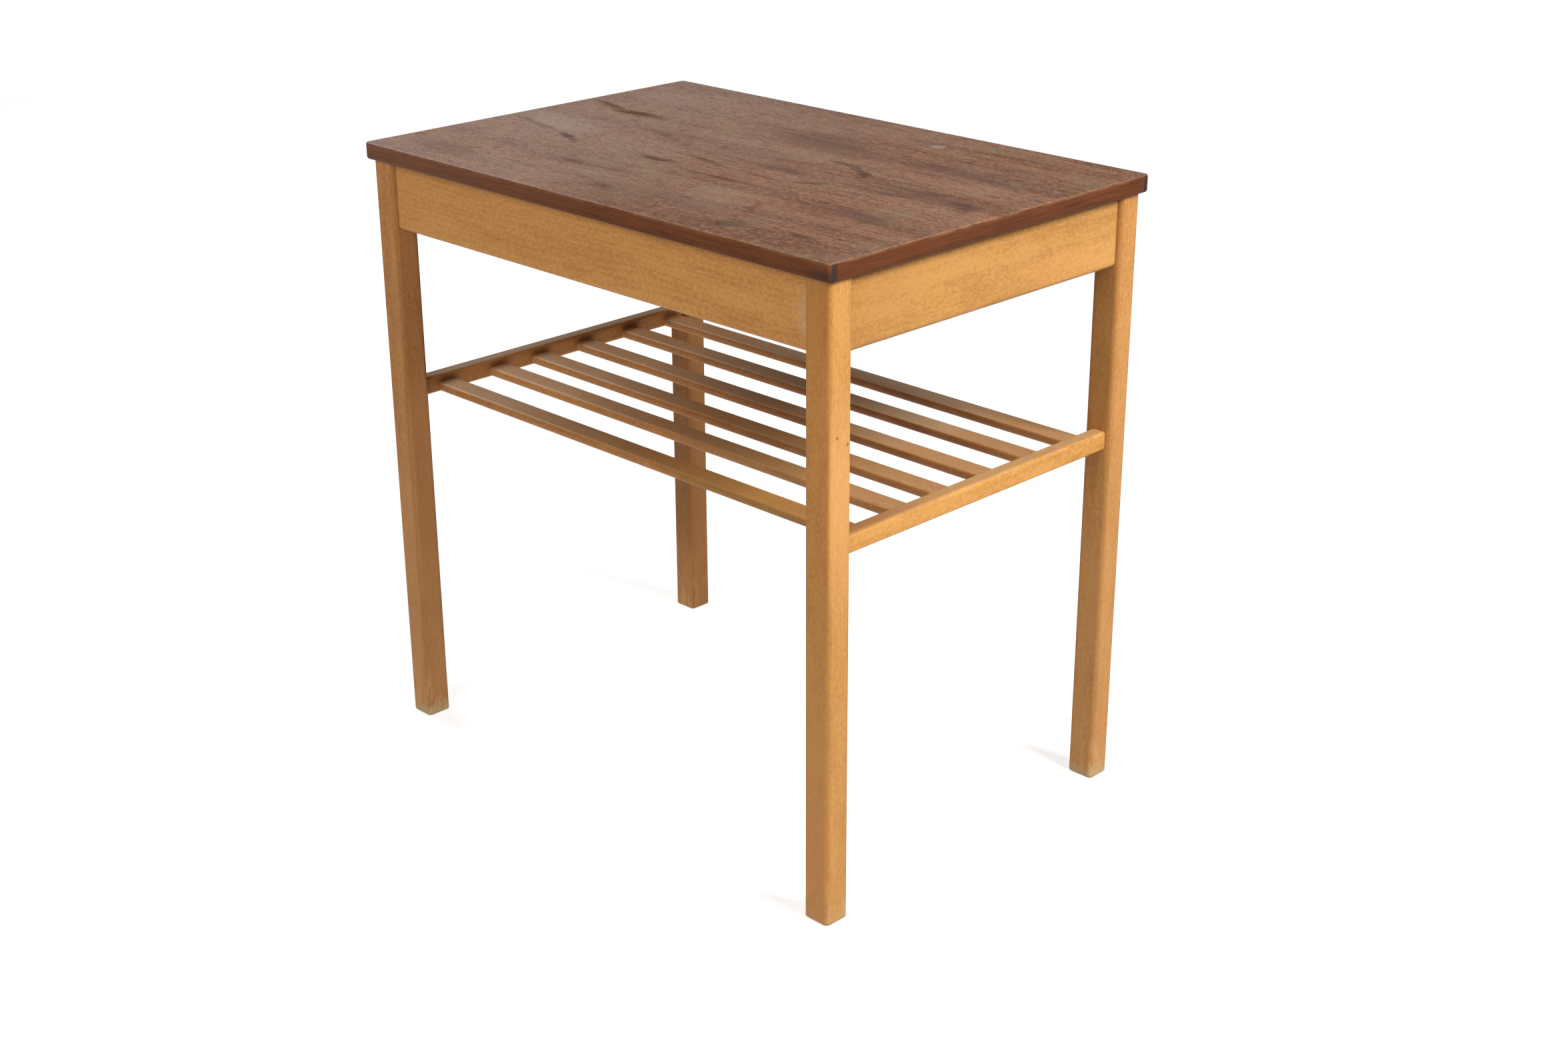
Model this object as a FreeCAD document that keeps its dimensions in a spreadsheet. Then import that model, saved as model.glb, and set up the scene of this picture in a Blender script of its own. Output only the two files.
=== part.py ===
# Open bedside table: a veneered and lipped top on a leg and apron frame, with a slatted shelf.
# Millimetres. X runs along the table's length, Y from its front to its back, Z up.
# The origin is on the floor, under the middle of the top.
import FreeCAD, Part
import math
import os
import re
import Sketcher

# Every size that can be set by itself, written once: it fills the spreadsheet and bears its alias.
SIZES = {
    # the table as a whole
    "top_length": 600.0,
    "top_depth": 404.0,
    "total_height": 590.0,
    "top_overhang": 5.0,
    # the top: a board between two veneers, with a solid lipping on each edge
    "top_thickness": 16.0,
    "veneer_thickness": 0.8,
    "lipping_thickness": 8.0,
    "plan_corner_radius": 4.5,
    "upper_arris_radius": 1.8,
    "lower_arris_radius": 2.5,
    # the legs
    "leg_width": 28.0,
    "leg_depth": 26.5,
    "leg_outer_radius": 5.5,
    "leg_inner_radius": 4.5,
    "foot_radius": 2.0,
    # the aprons under the top
    "apron_height": 64.0,
    "apron_thickness": 18.0,
    "apron_recess": 4.5,
    "apron_lower_radius": 5.0,
    "apron_arris_radius": 1.0,
    # the cross rails that carry the shelf
    "rail_underside": 338.0,
    "rail_height": 18.0,
    "rail_width": 15.0,
    "rail_recess": 5.0,
    "rail_arris_radius": 3.0,
    "rail_tenon_length": 14.0,
    "rail_tenon_width": 8.0,
    "rail_tenon_height": 11.0,
    # the shelf's slats
    "slat_width": 23.5,
    "slat_thickness": 8.5,
    "slat_arris_radius": 3.0,
    "slat_lift": 1.0,
    "slat_front_setback": 29.0,
    "slat_back_setback": 15.5,
    "slat_tenon_length": 8.0,
    "slat_tenon_width": 16.0,
    "slat_tenon_thickness": 4.5,
    # dowels between aprons and legs
    "dowel_diameter": 8.0,
    "dowel_chamfer": 0.8,
    "dowel_in_leg": 14.0,
    "dowel_in_apron": 18.0,
    # blocks glued and screwed into the frame's inner corners, clear of the legs
    "block_reach": 52.0,
    "block_height": 25.0,
    "block_leg_gap": 5.5,
    # round-head screws: four up into the top, two through each block into the aprons
    "screw_diameter": 4.0,
    "screw_head_diameter": 7.6,
    "screw_head_height": 2.8,
    "screw_slot_width": 1.0,
    "screw_slot_depth": 1.3,
    "screw_tip_length": 4.0,
    "screw_well_diameter": 9.0,
    "screw_well_depth": 6.0,
    "top_screw_grip": 15.0,
    "top_screw_bite": 11.0,
    "apron_screw_grip": 8.0,
    "apron_screw_bite": 12.0,
    # clearances: round a tenon, dowel or screw, and at the bottom of its hole
    "fit_gap": 0.1,
    "end_gap": 0.5,
}

# Where each slat's middle lies between the first slat and the last one, set out by eye as on the table.
SLAT_PLACE_SHARES = (0.0, 0.214, 0.395, 0.594, 0.803, 1.0)

# How far down an apron its dowels lie. Those of the two directions pass each other in the leg.
DOWEL_DEPTH_SHARES = {"long": (0.2, 0.63), "side": (0.415, 0.84)}

# Formulas shared by several pieces, in the words of the sheet.
LEG_HEIGHT = "(total_height - top_thickness)"
LEG_FACE_X = "(top_length / 2 - top_overhang)"
LEG_FACE_Y = "(top_depth / 2 - top_overhang)"
APRON_SPAN_X = f"(2 * ({LEG_FACE_X} - leg_width))"
APRON_SPAN_Y = f"(2 * ({LEG_FACE_Y} - leg_depth))"
APRON_MIDDLE_X = f"({LEG_FACE_X} - apron_recess - apron_thickness / 2)"
APRON_MIDDLE_Y = f"({LEG_FACE_Y} - apron_recess - apron_thickness / 2)"
CORNER_X = f"({APRON_MIDDLE_X} - apron_thickness / 2)"
CORNER_Y = f"({APRON_MIDDLE_Y} - apron_thickness / 2)"
CORE_HEIGHT = "(top_thickness - 2 * veneer_thickness)"
CORE_BOTTOM = f"({LEG_HEIGHT} + veneer_thickness)"
RAIL_MIDDLE_X = f"({LEG_FACE_X} - rail_recess - rail_width / 2)"
RAIL_MIDDLE_Z = "(rail_underside + rail_height / 2)"
SLAT_MIDDLE_Z = "(rail_underside + slat_lift + slat_thickness / 2)"
SLAT_SPAN = f"(2 * ({RAIL_MIDDLE_X} - rail_width / 2))"
FIRST_SLAT_Y = f"(slat_front_setback - {APRON_SPAN_Y} / 2)"
LAST_SLAT_Y = f"({APRON_SPAN_Y} / 2 - slat_back_setback)"
DOWEL_HOLE_RADIUS = "(dowel_diameter / 2 + fit_gap)"
SCREW_HOLE_RADIUS = "(screw_diameter / 2 + fit_gap)"
APRON_SCREW_Z = f"({LEG_HEIGHT} - block_height / 2)"
LEG_CORNER = "(leg_width + leg_depth - 2 * (apron_recess + apron_thickness))"
BLOCK_CORNER_CUT = f"({LEG_CORNER} + block_leg_gap)"
TOP_SCREW_PLACE = f"(({BLOCK_CORNER_CUT} + block_reach) / 4)"
APRON_SCREW_PLACE = "(block_reach - apron_screw_grip - screw_well_depth)"
AXES = "XYZ"
SIDES = (("left", -1), ("right", 1))
ENDS = (("front", -1), ("back", 1))
# An edge runs along an axis when at least this share of its length does.
ALIGNED_SHARE = 0.999
UPRIGHT = FreeCAD.Vector(0, 0, 1)

doc = FreeCAD.newDocument("bedside_table")
sheet = doc.addObject("Spreadsheet::Sheet", "sizes")
for row, (alias, number) in enumerate(SIZES.items(), start=1):
    sheet.set(f"A{row}", alias)
    sheet.set(f"B{row}", str(number))
    sheet.setAlias(f"B{row}", alias)
doc.recompute()


def bind(thing, path, formula):
    """Binds a property or a named constraint to a formula written in the sheet's words."""
    def cell(match):
        word = match.group()
        return f"sizes.{word}" if word in SIZES else word
    thing.setExpression(path, re.sub(r"[a-z]+(?:_[a-z]+)+", cell, formula))


def place(thing, x="0", y="0", z="0", turn=0):
    """Binds where a piece stands, and how far it is turned about the vertical."""
    thing.Placement.Rotation = FreeCAD.Rotation(UPRIGHT, turn)
    for axis, formula in zip("xyz", (x, y, z)):
        bind(thing, f"Placement.Base.{axis}", formula)


def new_body(label):
    """A body for one piece, which may hold several like solids."""
    body = doc.addObject("PartDesign::Body", label)
    body.Label = label
    body.AllowCompound = True
    return body


def new_sketch(body, name, plane, offset="0", across="0", up="0", turn=0):
    """A sketch on one of the body's own planes, moved along that plane's normal and within it."""
    sketch = body.newObject("Sketcher::SketchObject", f"{body.Name}_{name}")
    sketch.AttachmentSupport = (origin_plane(body, plane), [""])
    sketch.MapMode = "FlatFace"
    sketch.AttachmentOffset = FreeCAD.Placement(FreeCAD.Vector(), UPRIGHT, turn)
    for axis, formula in zip("xyz", (across, up, offset)):
        bind(sketch, f"AttachmentOffset.Base.{axis}", formula)
    return sketch


def origin_plane(body, plane):
    """The body's own plane of that role, such as XY_Plane."""
    return next(part for part in body.Origin.OriginFeatures if part.Role == f"{plane}_Plane")


def fix(sketch, kind, places, name, formula):
    """Adds a constraint with a name and binds it to a formula."""
    index = sketch.addConstraint(Sketcher.Constraint(kind, *places, 1.0))
    sketch.renameConstraint(index, name)
    bind(sketch, f"Constraints.{name}", formula)


def outline(sketch, name, points, domed=False):
    """Draws a closed outline through points, each a pair of formulas from the sketch's origin.

    The first side of a domed outline is an arc whose middle lies on the sketch's upright axis.
    """
    first = sketch.GeometryCount
    count = len(points)
    angles = [2 * math.pi * step / count - math.pi / 2 for step in range(count)]
    rough = [FreeCAD.Vector(math.cos(angle), math.sin(angle), 0) for angle in angles]
    for step in range(count):
        side = Part.LineSegment(rough[step], rough[(step + 1) % count])
        if domed and step == 0:
            side = Part.ArcOfCircle(Part.Circle(FreeCAD.Vector(), UPRIGHT, 1), *angles[:2])
        sketch.addGeometry(side, False)
    for step in range(count):
        following = first + (step + 1) % count
        sketch.addConstraint(Sketcher.Constraint("Coincident", first + step, 2, following, 1))
    for step, (across, up) in enumerate(points):
        fix(sketch, "DistanceX", (-1, 1, first + step, 1), f"{name}_x{step}", across)
        fix(sketch, "DistanceY", (-1, 1, first + step, 1), f"{name}_y{step}", up)
    if domed:
        sketch.addConstraint(Sketcher.Constraint("PointOnObject", first, 3, -2))


def rectangle(sketch, name, width, height, across="0", up="0"):
    """Draws a rectangle with its middle at the given place."""
    left, right = f"{across} - {width} / 2", f"{across} + {width} / 2"
    low, high = f"{up} - {height} / 2", f"{up} + {height} / 2"
    outline(sketch, name, ((left, low), (right, low), (right, high), (left, high)))


def circle(sketch, name, radius, across, up):
    """Draws a circle with its middle at the given place."""
    number = sketch.addGeometry(Part.Circle(FreeCAD.Vector(), UPRIGHT, 1), False)
    fix(sketch, "Radius", (number,), f"{name}_radius", radius)
    fix(sketch, "DistanceX", (-1, 1, number, 3), f"{name}_x", across)
    fix(sketch, "DistanceY", (-1, 1, number, 3), f"{name}_y", up)


def extrude(body, kind, sketch, length, symmetric=False, backwards=False):
    """Pads a sketch, or cuts a pocket with it, and checks that the solid really changed."""
    before = body.Shape.Volume if body.Tip else 0.0
    feature = body.newObject(f"PartDesign::{kind}", f"{sketch.Name}_{kind.lower()}")
    feature.Profile = sketch
    bind(feature, "Length", length)
    feature.SideType = "Symmetric" if symmetric else "One side"
    feature.Reversed = backwards
    sketch.Visibility = False
    doc.recompute()
    after = body.Shape.Volume
    if (after <= before) if kind == "Pad" else (after >= before):
        raise RuntimeError(f"{feature.Name} changed nothing")
    return feature


def mirror(body, features, *planes):
    """Repeats features on the other side of one or more of the body's own planes."""
    repeated = body.newObject("PartDesign::MultiTransform", f"{features[0].Name}_repeated")
    mirrors = []
    for plane in planes:
        mirrored = body.newObject("PartDesign::Mirrored", f"{repeated.Name}_{plane.lower()}")
        mirrored.MirrorPlane = (origin_plane(body, plane), [""])
        mirrors.append(mirrored)
    repeated.Originals = features
    repeated.Transformations = mirrors
    body.Tip = repeated
    doc.recompute()


def ease(body, name, edges, radius, kind="Fillet"):
    """Rounds or chamfers the named edges or faces of the body as it stands."""
    base = body.Tip
    feature = body.newObject(f"PartDesign::{kind}", f"{body.Name}_{name}")
    feature.Base = (base, edges)
    bind(feature, "Radius" if kind == "Fillet" else "Size", radius)
    doc.recompute()
    if feature.Shape.isNull() or feature.Shape.Volume >= base.Shape.Volume:
        raise RuntimeError(f"{feature.Name} changed nothing")
    return feature


def edges_along(body, axis, chosen=lambda middle: True):
    """Names the body's straight edges along an axis whose middle passes the test."""
    names = []
    for number, edge in enumerate(body.Tip.Shape.Edges, start=1):
        run = edge.Vertexes[-1].Point - edge.Vertexes[0].Point
        straight = edge.Curve.TypeId == "Part::GeomLine"
        aligned = straight and abs(run[AXES.index(axis)]) > ALIGNED_SHARE * run.Length
        if aligned and chosen(edge.CenterOfMass):
            names.append(f"Edge{number}")
    return names


def round_edges(body):
    """Names the body's circular edges."""
    curves = enumerate(body.Tip.Shape.Edges, start=1)
    return [f"Edge{number}" for number, edge in curves if edge.Curve.TypeId == "Part::GeomCircle"]


def face_towards(body, axis, sign):
    """Names the body's flat face that lies furthest towards one side."""
    faces = enumerate(body.Tip.Shape.Faces, start=1)
    flat = [(sign * face.CenterOfMass[AXES.index(axis)], f"Face{number}") for number, face in faces
            if face.Surface.TypeId == "Part::GeomPlane"]
    return max(flat)[1]


def top_form():
    """The whole top as one eased slab, which gives its veneers and lippings their outer form."""
    body = new_body("top_form")
    sketch = new_sketch(body, "plan", "XY", LEG_HEIGHT)
    rectangle(sketch, "plan", "top_length", "top_depth")
    extrude(body, "Pad", sketch, "top_thickness")
    ease(body, "plan_corners", edges_along(body, "Z"), "plan_corner_radius")
    ease(body, "upper_arris", [face_towards(body, "Z", 1)], "upper_arris_radius")
    ease(body, "lower_arris", [face_towards(body, "Z", -1)], "lower_arris_radius")
    return body


def trimmed(blank, form, label):
    """A piece cut from its blank to the form of the whole top."""
    blank.Label = f"{label}_blank"
    piece = doc.addObject("Part::Common", f"{label}_trimmed")
    piece.Base = blank
    piece.Tool = form
    piece.Label = label
    return piece


def top_screw_holes(body, name, bottom, depth):
    """Drills the four pilot holes for the screws that hold the top, from below."""
    sketch = new_sketch(body, name, "XY", bottom)
    for side, sx in SIDES:
        for end, sy in ENDS:
            across = f"{sx} * ({CORNER_X} - {TOP_SCREW_PLACE})"
            up = f"{sy} * ({CORNER_Y} - {TOP_SCREW_PLACE})"
            circle(sketch, f"{end}_{side}", SCREW_HOLE_RADIUS, across, up)
    extrude(body, "Pocket", sketch, depth, backwards=True)


def tabletop_core():
    """The board in the middle of the top."""
    body = new_body("tabletop_core")
    sketch = new_sketch(body, "plan", "XY", CORE_BOTTOM)
    rectangle(sketch, "plan", "(top_length - 2 * lipping_thickness)", "(top_depth - 2 * lipping_thickness)")
    extrude(body, "Pad", sketch, CORE_HEIGHT)
    top_screw_holes(body, "pilots", CORE_BOTTOM, "top_screw_bite - veneer_thickness + end_gap")
    return body


def veneer(label, bottom, drilled, form):
    """One of the two veneers, which cover the board and the lippings."""
    body = new_body(f"{label}_sheet")
    sketch = new_sketch(body, "plan", "XY", bottom)
    rectangle(sketch, "plan", "top_length", "top_depth")
    extrude(body, "Pad", sketch, "veneer_thickness")
    if drilled:
        top_screw_holes(body, "pilots", bottom, "veneer_thickness")
    return trimmed(body, form, label)


def long_lipping(label, sign, form):
    """A lipping along the front or back edge, over the full length of the top."""
    body = new_body(f"{label}_strip")
    sketch = new_sketch(body, "plan", "XY", CORE_BOTTOM)
    across_middle = f"{sign} * (top_depth / 2 - lipping_thickness / 2)"
    rectangle(sketch, "plan", "top_length", "lipping_thickness", up=across_middle)
    extrude(body, "Pad", sketch, CORE_HEIGHT)
    return trimmed(body, form, label)


def short_lipping(label, sign, form):
    """A lipping across one end, between the two long ones."""
    body = new_body(f"{label}_strip")
    sketch = new_sketch(body, "plan", "XY", CORE_BOTTOM)
    middle = f"{sign} * (top_length / 2 - lipping_thickness / 2)"
    rectangle(sketch, "plan", "lipping_thickness", "(top_depth - 2 * lipping_thickness)", across=middle)
    extrude(body, "Pad", sketch, CORE_HEIGHT)
    return trimmed(body, form, label)


def dowel_depths(which):
    """How far below the top the dowels of the long or the side aprons lie."""
    return [f"{share} * apron_height" for share in DOWEL_DEPTH_SHARES[which]]


def leg(label, sx, sy):
    """A square leg with eased arrises, drilled for two aprons and mortised for a shelf rail."""
    body = new_body(label)
    place(body, x=f"{sx} * ({LEG_FACE_X} - leg_width / 2)", y=f"{sy} * ({LEG_FACE_Y} - leg_depth / 2)")
    sketch = new_sketch(body, "section", "XY")
    rectangle(sketch, "section", "leg_width", "leg_depth")
    extrude(body, "Pad", sketch, LEG_HEIGHT)
    others = edges_along(body, "Z", lambda middle: middle.x * sx < 0 or middle.y * sy < 0)
    ease(body, "arrises", others, "leg_inner_radius")
    outer = edges_along(body, "Z", lambda middle: middle.x * sx > 0 and middle.y * sy > 0)
    ease(body, "outer_arris", outer, "leg_outer_radius")
    ease(body, "foot", [face_towards(body, "Z", -1)], "foot_radius")
    # dowel holes for the long apron, in the inner face across X
    holes = new_sketch(body, "long_dowel_holes", "YZ", f"{-sx} * leg_width / 2")
    from_middle = f"{sy} * (leg_depth / 2 - apron_recess - apron_thickness / 2)"
    for number, depth in enumerate(dowel_depths("long")):
        circle(holes, f"hole_{number}", DOWEL_HOLE_RADIUS, from_middle, f"{LEG_HEIGHT} - {depth}")
    extrude(body, "Pocket", holes, "dowel_in_leg", backwards=sx > 0)
    # dowel holes for the side apron, in the inner face across Y
    holes = new_sketch(body, "side_dowel_holes", "XZ", f"{sy} * leg_depth / 2")
    from_middle = f"{sx} * (leg_width / 2 - apron_recess - apron_thickness / 2)"
    for number, depth in enumerate(dowel_depths("side")):
        circle(holes, f"hole_{number}", DOWEL_HOLE_RADIUS, from_middle, f"{LEG_HEIGHT} - {depth}")
    extrude(body, "Pocket", holes, "dowel_in_leg", backwards=sy < 0)
    # mortise for the shelf rail's tenon, in the same face
    mortise = new_sketch(body, "mortise", "XZ", f"{sy} * leg_depth / 2")
    rectangle(mortise, "mortise", "(rail_tenon_width + 2 * fit_gap)", "(rail_tenon_height + 2 * fit_gap)",
              across=f"{sx} * (leg_width / 2 - rail_recess - rail_width / 2)", up=RAIL_MIDDLE_Z)
    extrude(body, "Pocket", mortise, "rail_tenon_length + end_gap", backwards=sy < 0)
    return body


def long_apron(label, sy):
    """The front or back apron, along X between two legs."""
    body = new_body(label)
    place(body, y=f"{sy} * {APRON_MIDDLE_Y}", z=f"{LEG_HEIGHT} - apron_height / 2")
    section = new_sketch(body, "section", "YZ")
    rectangle(section, "section", "apron_thickness", "apron_height")
    extrude(body, "Pad", section, APRON_SPAN_X, symmetric=True)
    outer = edges_along(body, "X", lambda middle: middle.z < 0 and middle.y * sy > 0)
    ease(body, "lower_arris", outer, "apron_lower_radius")
    inner = edges_along(body, "X", lambda middle: middle.z < 0 and middle.y * sy < 0)
    ease(body, "arris", inner, "apron_arris_radius")
    holes = new_sketch(body, "dowel_holes", "YZ", f"{APRON_SPAN_X} / 2")
    for number, depth in enumerate(dowel_depths("long")):
        circle(holes, f"hole_{number}", DOWEL_HOLE_RADIUS, "0", f"apron_height / 2 - {depth}")
    cut = extrude(body, "Pocket", holes, "dowel_in_apron")
    mirror(body, [cut], "YZ")
    pilots = new_sketch(body, "pilots", "XZ", f"{sy} * apron_thickness / 2")
    for side, sx in SIDES:
        across = f"{sx} * ({CORNER_X} - {APRON_SCREW_PLACE})"
        circle(pilots, side, SCREW_HOLE_RADIUS, across, "apron_height / 2 - block_height / 2")
    extrude(body, "Pocket", pilots, "apron_screw_bite + end_gap", backwards=sy < 0)
    return body


def side_apron(label, sx):
    """The left or right apron, along Y between two legs."""
    body = new_body(label)
    place(body, x=f"{sx} * {APRON_MIDDLE_X}", z=f"{LEG_HEIGHT} - apron_height / 2")
    section = new_sketch(body, "section", "XZ")
    rectangle(section, "section", "apron_thickness", "apron_height")
    extrude(body, "Pad", section, APRON_SPAN_Y, symmetric=True)
    outer = edges_along(body, "Y", lambda middle: middle.z < 0 and middle.x * sx > 0)
    ease(body, "lower_arris", outer, "apron_lower_radius")
    inner = edges_along(body, "Y", lambda middle: middle.z < 0 and middle.x * sx < 0)
    ease(body, "arris", inner, "apron_arris_radius")
    holes = new_sketch(body, "dowel_holes", "XZ", f"-{APRON_SPAN_Y} / 2")
    for number, depth in enumerate(dowel_depths("side")):
        circle(holes, f"hole_{number}", DOWEL_HOLE_RADIUS, "0", f"apron_height / 2 - {depth}")
    cut = extrude(body, "Pocket", holes, "dowel_in_apron", backwards=True)
    mirror(body, [cut], "XZ")
    pilots = new_sketch(body, "pilots", "YZ", f"{-sx} * apron_thickness / 2")
    for end, sy in ENDS:
        across = f"{sy} * ({CORNER_Y} - {APRON_SCREW_PLACE})"
        circle(pilots, end, SCREW_HOLE_RADIUS, across, "apron_height / 2 - block_height / 2")
    extrude(body, "Pocket", pilots, "apron_screw_bite + end_gap", backwards=sx > 0)
    return body


def slat_place(share):
    """How far a slat's middle lies from the middle of the table, towards the back."""
    return f"({FIRST_SLAT_Y} + {share} * ({LAST_SLAT_Y} - {FIRST_SLAT_Y}))"


def shelf_rail(label, sx):
    """A cross rail tenoned into two legs, with a mortise in its inner face for each slat."""
    body = new_body(label)
    place(body, x=f"{sx} * {RAIL_MIDDLE_X}", z=RAIL_MIDDLE_Z)
    section = new_sketch(body, "section", "XZ")
    rectangle(section, "section", "rail_width", "rail_height")
    extrude(body, "Pad", section, APRON_SPAN_Y, symmetric=True)
    ease(body, "arrises", edges_along(body, "Y"), "rail_arris_radius")
    tenons = new_sketch(body, "tenons", "XZ")
    rectangle(tenons, "tenon", "rail_tenon_width", "rail_tenon_height")
    extrude(body, "Pad", tenons, f"{APRON_SPAN_Y} + 2 * rail_tenon_length", symmetric=True)
    mortises = new_sketch(body, "mortises", "YZ", f"{-sx} * rail_width / 2")
    for number, share in enumerate(SLAT_PLACE_SHARES, start=1):
        rectangle(mortises, f"slat_{number}", "(slat_tenon_width + 2 * fit_gap)",
                  "(slat_tenon_thickness + 2 * fit_gap)", across=slat_place(share),
                  up=f"{SLAT_MIDDLE_Z} - {RAIL_MIDDLE_Z}")
    extrude(body, "Pocket", mortises, "slat_tenon_length + end_gap", backwards=sx > 0)
    return body


def shelf_slat(label, share):
    """A slat between the two rails, with a stub tenon at each end."""
    body = new_body(label)
    place(body, y=slat_place(share), z=SLAT_MIDDLE_Z)
    section = new_sketch(body, "section", "YZ")
    rectangle(section, "section", "slat_width", "slat_thickness")
    extrude(body, "Pad", section, SLAT_SPAN, symmetric=True)
    ease(body, "arrises", edges_along(body, "X"), "slat_arris_radius")
    tenons = new_sketch(body, "tenons", "YZ")
    rectangle(tenons, "tenon", "slat_tenon_width", "slat_tenon_thickness")
    extrude(body, "Pad", tenons, f"{SLAT_SPAN} + 2 * slat_tenon_length", symmetric=True)
    return body


def corner_block(label, sx, sy):
    """A bevelled block across an inner corner, drilled for one screw upwards and two sideways."""
    body = new_body(label)
    turn = {(-1, -1): 0, (1, -1): 90, (1, 1): 180, (-1, 1): 270}[(sx, sy)]
    place(body, x=f"{sx} * {CORNER_X}", y=f"{sy} * {CORNER_Y}", z=f"{LEG_HEIGHT} - block_height", turn=turn)
    plan = new_sketch(body, "plan", "XY")
    outline(plan, "plan", ((BLOCK_CORNER_CUT, "0"), ("block_reach", "0"),
                           ("0", "block_reach"), ("0", BLOCK_CORNER_CUT)))
    extrude(body, "Pad", plan, "block_height")
    upright = new_sketch(body, "top_screw_hole", "XY")
    circle(upright, "hole", SCREW_HOLE_RADIUS, TOP_SCREW_PLACE, TOP_SCREW_PLACE)
    extrude(body, "Pocket", upright, "block_height", backwards=True)
    well = new_sketch(body, "top_screw_well", "XY")
    circle(well, "well", "screw_well_diameter / 2", TOP_SCREW_PLACE, TOP_SCREW_PLACE)
    extrude(body, "Pocket", well, "block_height - top_screw_grip", backwards=True)
    for plane, away in (("XZ", -1), ("YZ", 1)):
        hole = new_sketch(body, f"{plane.lower()}_screw_hole", plane)
        circle(hole, "hole", SCREW_HOLE_RADIUS, APRON_SCREW_PLACE, "block_height / 2")
        extrude(body, "Pocket", hole, "block_reach", backwards=away > 0)
        seat = new_sketch(body, f"{plane.lower()}_screw_well", plane, f"{away} * apron_screw_grip")
        circle(seat, "well", "screw_well_diameter / 2", APRON_SCREW_PLACE, "block_height / 2")
        extrude(body, "Pocket", seat, "block_reach", backwards=away > 0)
    return body


def dowels(label, plane, joint, middle, which):
    """Eight dowels at the two ends of two aprons, each half in a leg and half in an apron."""
    body = new_body(label)
    away = 1 if plane == "YZ" else -1
    sketch = new_sketch(body, "ends", plane, f"{away} * ({joint} + dowel_in_leg - end_gap)")
    for number, depth in enumerate(dowel_depths(which)):
        for sign, near in ((-1, "near"), (1, "far")):
            height = f"{LEG_HEIGHT} - {depth}"
            circle(sketch, f"{near}_{number}", "dowel_diameter / 2", f"{sign} * {middle}", height)
    pad = extrude(body, "Pad", sketch, "dowel_in_leg + dowel_in_apron - 2 * end_gap", backwards=away > 0)
    mirror(body, [pad], plane)
    ease(body, "chamfers", round_edges(body), "dowel_chamfer", kind="Chamfer")
    return body


def screw(body, name, grip, bite, **where):
    """Turns and slots a round-head screw that points up its sketch from the underside of its head."""
    length = f"({grip} + {bite})"
    side = new_sketch(body, f"{name}_side", **where)
    radius, head_radius = "screw_diameter / 2", "screw_head_diameter / 2"
    outline(side, "side", (("0", "-screw_head_height"), (head_radius, "0"), (radius, "0"),
                           (radius, f"{length} - screw_tip_length"), ("0", length)), domed=True)
    turned = body.newObject("PartDesign::Revolution", f"{side.Name}_turned")
    turned.Profile = side
    turned.ReferenceAxis = (side, ["V_Axis"])
    turned.Angle = 360
    side.Visibility = False
    doc.recompute()
    slot = new_sketch(body, f"{name}_slot", **where)
    rectangle(slot, "slot", "screw_head_diameter", "2 * screw_slot_depth", up="-screw_head_height")
    return [turned, extrude(body, "Pocket", slot, "screw_slot_width", symmetric=True)]


def top_screws():
    """The four screws that pass up through the blocks into the top."""
    body = new_body("top_screws")
    features = screw(body, "upright", "top_screw_grip", "top_screw_bite", plane="XZ",
                     across=f"{TOP_SCREW_PLACE} - {CORNER_X}", up=f"{LEG_HEIGHT} - top_screw_grip",
                     offset=f"{CORNER_Y} - {TOP_SCREW_PLACE}")
    mirror(body, features, "YZ", "XZ")
    return body


def block_screws():
    """The eight screws that hold the blocks to the aprons, two through each block."""
    body = new_body("block_screws")
    features = screw(body, "to_long_apron", "apron_screw_grip", "apron_screw_bite", plane="XY",
                     across=f"{APRON_SCREW_PLACE} - {CORNER_X}", up=f"apron_screw_grip - {CORNER_Y}",
                     offset=APRON_SCREW_Z, turn=180)
    features += screw(body, "to_side_apron", "apron_screw_grip", "apron_screw_bite", plane="XY",
                      across=f"apron_screw_grip - {CORNER_X}", up=f"{APRON_SCREW_PLACE} - {CORNER_Y}",
                      offset=APRON_SCREW_Z, turn=90)
    mirror(body, features, "YZ", "XZ")
    return body


def table():
    """Every piece of the table, in the order in which it would be laid out on a bench."""
    form = top_form()
    pieces = [tabletop_core(), veneer("top_veneer", "total_height - veneer_thickness", False, form),
              veneer("backing_veneer", LEG_HEIGHT, True, form)]
    for end, sy in ENDS:
        pieces.append(long_lipping(f"lipping_{end}", sy, form))
        pieces.append(long_apron(f"apron_{end}", sy))
    for side, sx in SIDES:
        pieces.append(short_lipping(f"lipping_{side}", sx, form))
        pieces.append(side_apron(f"apron_{side}", sx))
        pieces.append(shelf_rail(f"shelf_rail_{side}", sx))
    for end, sy in ENDS:
        for side, sx in SIDES:
            pieces.append(leg(f"leg_{end}_{side}", sx, sy))
            pieces.append(corner_block(f"corner_block_{end}_{side}", sx, sy))
    for number, share in enumerate(SLAT_PLACE_SHARES, start=1):
        pieces.append(shelf_slat(f"shelf_slat_{number}", share))
    pieces.append(dowels("long_apron_dowels", "YZ", f"{APRON_SPAN_X} / 2", APRON_MIDDLE_Y, "long"))
    pieces.append(dowels("side_apron_dowels", "XZ", f"{APRON_SPAN_Y} / 2", APRON_MIDDLE_X, "side"))
    pieces.append(top_screws())
    pieces.append(block_screws())
    return pieces


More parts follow.
